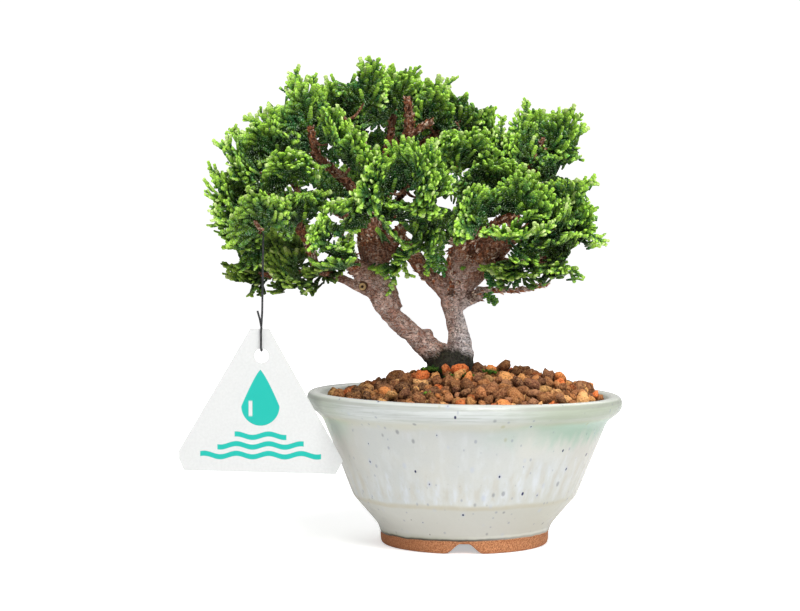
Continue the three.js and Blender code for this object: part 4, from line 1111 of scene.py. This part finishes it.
def build_foliage(name, face, fingers, lines, *nodes):
    """One piece: all fingers of a spray, and its ribs as thin tubes of four sides."""
    width_draw, shade_draw, roll = np.random.default_rng(77).random((len(fingers), 3)).T[..., None]
    feet, tips, faces, sizes, kinds, out = (np.array(column) for column in zip(*fingers))
    ways = tips - feet
    longs = np.linalg.norm(ways, axis=1, keepdims=True)
    ways /= longs
    light, out, short = openness(tips)[:, None], out[:, None], kinds[:, None] == 1
    ripe = np.clip((light - 0.22) / 0.34, 0, 1) * (0.35 + 0.65 * width_draw) * smooth_rise(out, 0.2, 0.85)
    ripe *= np.where(short, 0.7, 1.3)
    # Painted shade: fingers are darker the less open to the light they are, the further in on the spray they
    # grow and on the lower fans; each also darkens towards its foot.
    dim = np.clip((light - 0.16) / 0.42 + 0.4 * (shade_draw - 0.5), 0, 1)
    dim *= 0.5 + 0.5 * smooth_rise(out, 0.1, 0.7)
    dim = np.where(short, 0.68 * dim, np.minimum(1.15 * dim, 1))
    normals = faces - (faces * ways).sum(1, keepdims=True) * ways
    normals /= np.linalg.norm(normals, axis=1, keepdims=True)
    sides = np.cross(normals, ways)
    cos, sin = np.cos(roll - 0.5), np.sin(roll - 0.5)
    sides, normals = cos * sides + sin * normals, cos * normals - sin * sides
    wides, thicks = sizes[:, None] * (0.92 + 0.24 * width_draw), sizes[:, None] * (0.55 + 0.14 * shade_draw)
    curls = (0.04 + 0.08 * shade_draw) * longs
    parts, tints_and_shade, sheets = [], [], []
    for kind, (stations, across, up, shape_faces) in enumerate((whole_finger, short_finger)):
        kept = (longs[:, 0] > 1.3) & (kinds == kind)
        long, count = longs[kept] * stations, int(kept.sum())
        points = (feet[kept][:, None] + long[..., None] * ways[kept][:, None]
                  + (wides[kept] * across)[..., None] * sides[kept][:, None]
                  + (thicks[kept] * up + curls[kept] * stations ** 2)[..., None] * normals[kept][:, None])
        triangles = shape_faces + len(up) * np.arange(count)[:, None, None]
        parts.append((points.reshape(-1, 3), triangles.reshape(-1, 3).tolist()))
        tints_and_shade.append(np.column_stack([(ripe[kept] * smooth_rise(stations, 0.12, 0.85)).ravel(),
                                      (dim[kept] * (0.25 + 0.75 * stations)).ravel()]))
        sheets.append(np.stack([long / 1.3, np.tile(across, (count, 1))], axis=2).reshape(-1, 2))
    ring = [(math.cos(a), math.sin(a)) for a in np.linspace(0, 2 * math.pi, 5)[:-1]]
    for line, thick in lines:
        corners, triangles = [], []
        for i, spot in enumerate(line):
            ahead = unit(line[min(i + 1, len(line) - 1)] - line[max(i - 1, 0)] + 1e-9)
            side = unit(np.cross(ahead, face))
            up = np.cross(side, ahead)
            slim = thick * (1 - 0.35 * i / len(line))
            corners += [spot + side * c * slim + up * s * slim * 0.8 for c, s in ring]
            sheets.append([(i * 1.6, c) for c, _ in ring])
            tints_and_shade.append([(0.0, 0.22)] * 4)
        for low in range(0, len(corners) - 4, 4):
            for k, n in ((low, low + 1), (low + 1, low + 2), (low + 2, low + 3), (low + 3, low)):
                triangles += [[k, n, n + 4], [k, n + 4, k + 4]]
        parts.append((corners, triangles))
    piece = new_piece(name, parts, leaf, "foliage", *nodes)
    tints_and_shade = np.concatenate(tints_and_shade)
    olive_share = np.full(len(tints_and_shade), faded.get(name[8:-2], 0.0))
    for attribute, values in (("fresh", tints_and_shade[:, 0]), ("shade", tints_and_shade[:, 1]), ("faded", olive_share)):
        put_attribute(piece, attribute, values)
    layer = piece.data.uv_layers.new(name="scales")
    loops = np.empty(len(piece.data.loops), int)
    piece.data.loops.foreach_get("vertex_index", loops)
    layer.data.foreach_set("uv", np.concatenate(sheets)[loops].ravel())


for spray, fingers, lines in growths:
    build_foliage(spray.name.replace("spray", "foliage"), spray.face, fingers, lines, spray.name)

# Small shoots that sprout from the trunks and the inner branches: their line, the length of their
# fingers and how far out of the shade they count as. A thin twig joins each to the nearest limb.
shoots = [
    ([(-33, -6, 138), (-32.5, -10, 132), (-34, -11.5, 126), (-35.5, -12, 119.5)], 3.6, 0.9),
    ([(-30, -6, 139), (-28.5, -9, 133), (-27, -9.5, 127)], 3.0, 0.8),
    ([(-19, -7, 141), (-17, -9, 134), (-17.5, -9.5, 128)], 2.6, 0.6),
    ([(9, -4, 119), (11.5, -6, 118), (13.6, -6.4, 115.4)], 3.2, 0.3),
    ([(-14, -4, 146), (-13.5, -6, 139), (-13, -7, 131)], 4.2, 0.25),
    ([(-16.5, -5, 143), (-16, -7, 137), (-15.5, -8, 132)], 3.6, 0.15),
    ([(-61, 10, 192), (-63, 11, 186), (-65, 11, 180)], 5.4, 0.1),
    ([(-70, 9, 194), (-72, 10, 188), (-73, 10, 181)], 5.4, 0.1),
    ([(-66, 8, 192), (-68, 9, 186), (-69, 9, 180)], 4.8, 0.1),
    ([(-41, 10, 204), (-42, 10, 197), (-42, 10, 191)], 4.8, 0.1),
    ([(-36, 12, 203), (-37, 12, 197), (-38, 12, 192)], 4.8, 0.1),
    ([(-3, 8, 182), (-4, 8, 176), (-4, 8, 170)], 4.8, 0.1),
    ([(8, -5, 133), (12, -7, 128), (14, -8, 123)], 4.2, 0.1),
    ([(12, -2, 133), (16, -4, 128), (17.5, -5, 122)], 4.0, 0.1),
    ([(-70, -10, 208), (-71, -12, 216), (-71.5, -12, 222)], 4.4, 1.0),
    ([(-76, -12, 210), (-79, -12, 219), (-80, -12, 225)], 3.8, 1.0),
    ([(28, -3, 198), (29, -4, 206), (29.5, -4, 211)], 4.0, 1.0),
    ([(16, -3, 192), (17.5, -4, 198), (18, -4, 203)], 3.6, 0.9),
    ([(-49, -7, 152), (-53, -8, 148.5), (-57, -10, 142.5)], 4.6, 1.0),
    ([(-51, -6, 155), (-55.5, -7, 152), (-59, -8, 147)], 4.2, 0.8),
    ([(50, -2, 170), (56, -3, 171.5), (62, -3, 173)], 4.0, 1.0),
    ([(56, -2, 150), (61, -3, 147), (66, -3, 143)], 4.0, 1.0),
    ([(44, -4, 134), (49, -5, 131.5), (54, -5, 129)], 4.0, 0.9),
    ([(-112, -6, 172), (-117, -6, 175.5), (-122, -6, 179)], 4.0, 0.9),
    ([(-104, -6, 190), (-107.5, -6, 194), (-110.5, -6, 198)], 3.6, 0.9),
    ([(-13, -4, 212), (-10, -4, 216), (-7, -4, 220)], 4.0, 0.9),
    ([(-11.5, -2, 144), (-11, -3, 137), (-11, -4, 130)], 3.8, 0.2),
]
fingers, lines = [], []
limb_spots = np.array([bent_line(points, share)
                       for points in limbs.values() for share in np.linspace(0, 1, 60)])
towards = np.array((0.0, -1.0, 0.2))
rng = np.random.default_rng(5)
for points, long, out in shoots:
    knots = [bent_line(points, share) for share in np.linspace(0, 1, 3 * len(points))]
    for here, ahead in zip(knots, knots[1:]):
        way = unit(ahead - here)
        for side in (-1, 1):
            turn = math.radians(rng.uniform(14, 50)) * side
            branch = math.cos(turn) * way + math.sin(turn) * unit(np.cross(way, towards))
            branch += rng.normal(0, 0.16, 3)
            if rng.random() < 0.85:
                tip = here + branch * long * rng.uniform(0.55, 1.35)
                fingers.append((here, tip, towards, 0.85, 0, out))
    fingers.append((knots[-2], knots[-1] + 0.4 * (knots[-1] - knots[-2]), towards, 0.95, 0, out))
    foot = limb_spots[np.linalg.norm(limb_spots - knots[0], axis=1).argmin()]
    arch = (foot + knots[0]) / 2 + (0, 0, 0.08 * np.linalg.norm(foot - knots[0]))
    lines.append(([foot, arch, *knots], 0.7))
build_foliage("trunk_shoots", towards, fingers, lines)

# ---------------------------------------------------------------- dead scales
# Old scale leaves that died but hold on to the inner branches, reddish brown, pointing outwards along
# the branch and overlapping like shingles. On the oldest wood they are bleached and lie every way.
bpy.ops.mesh.primitive_cone_add(vertices=4, radius1=1, radius2=0.5, depth=1, location=(0, 0, 0.5),
                                end_fill_type="TRIFAN")
bpy.ops.object.transform_apply(location=True, rotation=True, scale=True)
husk_corners, husk_faces = shape_taken()
# The share of each limb's length at which its scales start.
scaly = {
    "left_leader": 0.1, "left_upper": 0.0, "left_middle": 0.0, "low_left": 0.35, "left_stub": 0.45,
    "left_front": 0.05, "top_right": 0.0, "top_left": 0.0, "centre_back": 0.1, "left_back": 0.2,
    "left_top_back": 0.1, "right_to_left": 0.3, "right_leader": 0.25, "right_main": 0.35, "right_upper": 0.1,
    "right_front": 0.15, "right_low": 0.2, "right_back": 0.15, "low_left_tip": 0.0, "left_trunk": 0.84,
    "right_trunk": 0.86, "cut_stub": 0.35, "right_lowest": 0.0,
}
scaly_lines = [(limbs[name], start) for name, start in scaly.items()]
scaly_lines += [(points, 0.3) for points in burrs + buds if max(point[2] for point in points) > 127]
rng = np.random.default_rng(19)
husk_parts, husk_tints = [], []
for points, start in scaly_lines:
    spots = [bent_line(points, share) for share in np.linspace(start, 1, 40)]
    reach = sum(np.linalg.norm(b - a) for a, b in zip(spots, spots[1:]))
    for _ in range(int(reach * (1.4 + 1.1 * np.mean([point[3] for point in points])))):
        share = rng.uniform(start, 0.98)
        here, ahead = bent_line(points, share), bent_line(points, min(share + 0.02, 1))
        way = unit(ahead - here + 1e-9)
        out = rng.normal(size=3)
        out = unit(out - out.dot(way) * way)
        old = float(smooth_rise(155 - here[2], 0, 12))
        axis = unit(way + out * rng.uniform(0.25, 0.9) * (1 - 0.55 * old) + rng.normal(0, 0.22, 3) * old)
        side = unit(np.cross(axis, out + 1e-6))
        long, wide = rng.uniform(1.0, 2.2) * (1 + 0.15 * old), rng.uniform(0.45, 0.85) * (1 + 0.1 * old)
        ways = np.array([side * wide, np.cross(side, axis) * wide * 0.6, axis * long])
        husk_parts.append((here + out * radius_at(points, share) * 0.85 + husk_corners @ ways, husk_faces))
        husk_tints.append((rng.random() + 0.26 * old) * (0.72 + 0.28 * husk_corners[:, 2]))
dead = Finish("dead_scales", roughness=0.9, gloss=0.15)
grit = dead.noise(dead.place(), 0.9)
age = dead.attribute("age")
tone = dead.coats(
    (74, 44, 32),
    (age.steps(0.0, 0.8), (188, 118, 82)),
    (age.steps(0.7, 0.84) * 0.9, (232, 210, 190)),
    ((1 - grit.steps(0.35, 0.5)) * 0.7, (40, 24, 18)))
dead.surface(base_color=tone, normal=dead.relief(grit, 0.2))
husks = new_piece("dead_scales", husk_parts, dead, "bark", smooth=False)
put_attribute(husks, "age", np.concatenate(husk_tints))

# ---------------------------------------------------------------- moss
# Dark moss on the granules round the trunks' foot, with a few brighter tufts and one small sprout.
moss_spots = [  # x, y, z, spread, tufts, brightness
    (-16, -10, 83.6, 3.0, 110, 0.3), (-20, -8, 82.2, 2.4, 50, 0.2), (-1, -14, 81.6, 3.0, 60, 0.25),
    (3, -19, 80.4, 2.0, 30, 0.5), (12, -9, 82.4, 2.2, 36, 0.4), (-9, -12, 83.0, 2.8, 50, 0.12),
    (-0.7, -8.4, 131.5, 1.2, 12, 0.9), (-16.5, -48, 74.6, 1.0, 16, 1.0), (-15.5, -50, 74.2, 0.8, 10, 0.9),
    (-6, -20, 80.6, 2.2, 36, 0.35),
]
bpy.ops.mesh.primitive_ico_sphere_add(subdivisions=1, radius=1, location=(0, 0, 0))
tuft_corners, tuft_faces = shape_taken()
tuft_parts, tuft_tints = [], []
for *middle, spread, tufts, bright in moss_spots:
    for _ in range(tufts):
        size = rng.uniform(0.4, 0.8)
        turn = np.linalg.qr(rng.normal(size=(3, 3)))[0]
        turn[:, 0] *= np.sign(np.linalg.det(turn))
        spot = middle + rng.normal(0, 0.5, 3) * (spread, spread * 0.8, 0.9)
        tuft_parts.append(((tuft_corners * (size, size * 0.6, size * 1.5)) @ turn.T + spot, tuft_faces))
        tuft_tints.append(np.full(len(tuft_corners), np.clip(bright + rng.normal(0, 0.15), 0, 1)))
moss = Finish("moss", roughness=0.9, gloss=0.15)
speckle = moss.noise(moss.place(), 0.6, detail=2)
tone = moss.blend(moss.attribute("bright"), (22, 44, 20), (120, 168, 56))
moss.surface(base_color=moss.blend(speckle.steps(0.55, 0.35) * 0.5, tone, (14, 26, 12)),
             normal=moss.relief(speckle, 0.3))
moss_piece = new_piece("moss", tuft_parts, moss, "foliage")
put_attribute(moss_piece, "bright", np.concatenate(tuft_tints))

# ---------------------------------------------------------------- tag
# A triangular tag of white card with cut-off corners and a round hole. It hangs by the wire through
# its hole, and both faces carry a plain sign for water: a drop over three ripples.
TAG_X, DROP_TOP, DROP_MIDDLE, DROP_RADIUS = -94, 85, 68, 9
card = Finish("white_card", roughness=0.55)
place = card.place()
x, y, z = card.split(place)
fibre = card.noise(place, 1.2)
stock = card.blend(fibre.steps(0.3, 0.7), (214, 215, 214), (219, 220, 219))
aside = abs(x - TAG_X)
taper = card.clamped((DROP_TOP - z) / (DROP_TOP - DROP_MIDDLE))
ball = card.maths("SQRT", card.clamped(1 - ((z - DROP_MIDDLE) / DROP_RADIUS) ** 2))
above = z.steps(DROP_MIDDLE - 0.1, DROP_MIDDLE + 0.1)
half_width = DROP_RADIUS * (above * taper ** 0.8 + (1 - above) * ball)
glint = abs(aside - 4.6).steps(1.0, 0.7) * z.steps(63, 64) * z.steps(71, 70) * x.steps(-93, -94)
ink = (half_width - aside).steps(0.0, 0.3) * z.steps(58.9, 59.1) * (1 - glint)
ripple = card.maths("SINE", (x - TAG_X) * 0.42) * 0.8
for height, half in ((54.4, 12), (49.9, 20), (45.4, 28)):
    ink += abs(z - height - ripple).steps(1.35, 1.05) * (half - aside).steps(-0.2, 0.2)
card.surface(base_color=card.blend(card.clamped(ink), stock, (0, 182, 168)),
             normal=card.relief(fibre, 0.03))
dress("hang_tag", card)

# ---------------------------------------------------------------- wire
# Black wire, hooked over a twig, run down to the tag, passed through its hole and twisted shut.
coated = Finish("black_wire", roughness=0.42)
wear = coated.noise(coated.place(), 1.5)
coated.surface(base_color=coated.blend(wear.steps(0.4, 0.7), (34, 35, 37), (66, 67, 70)),
               normal=coated.relief(wear, 0.05))
dress("tag_wire", coated)
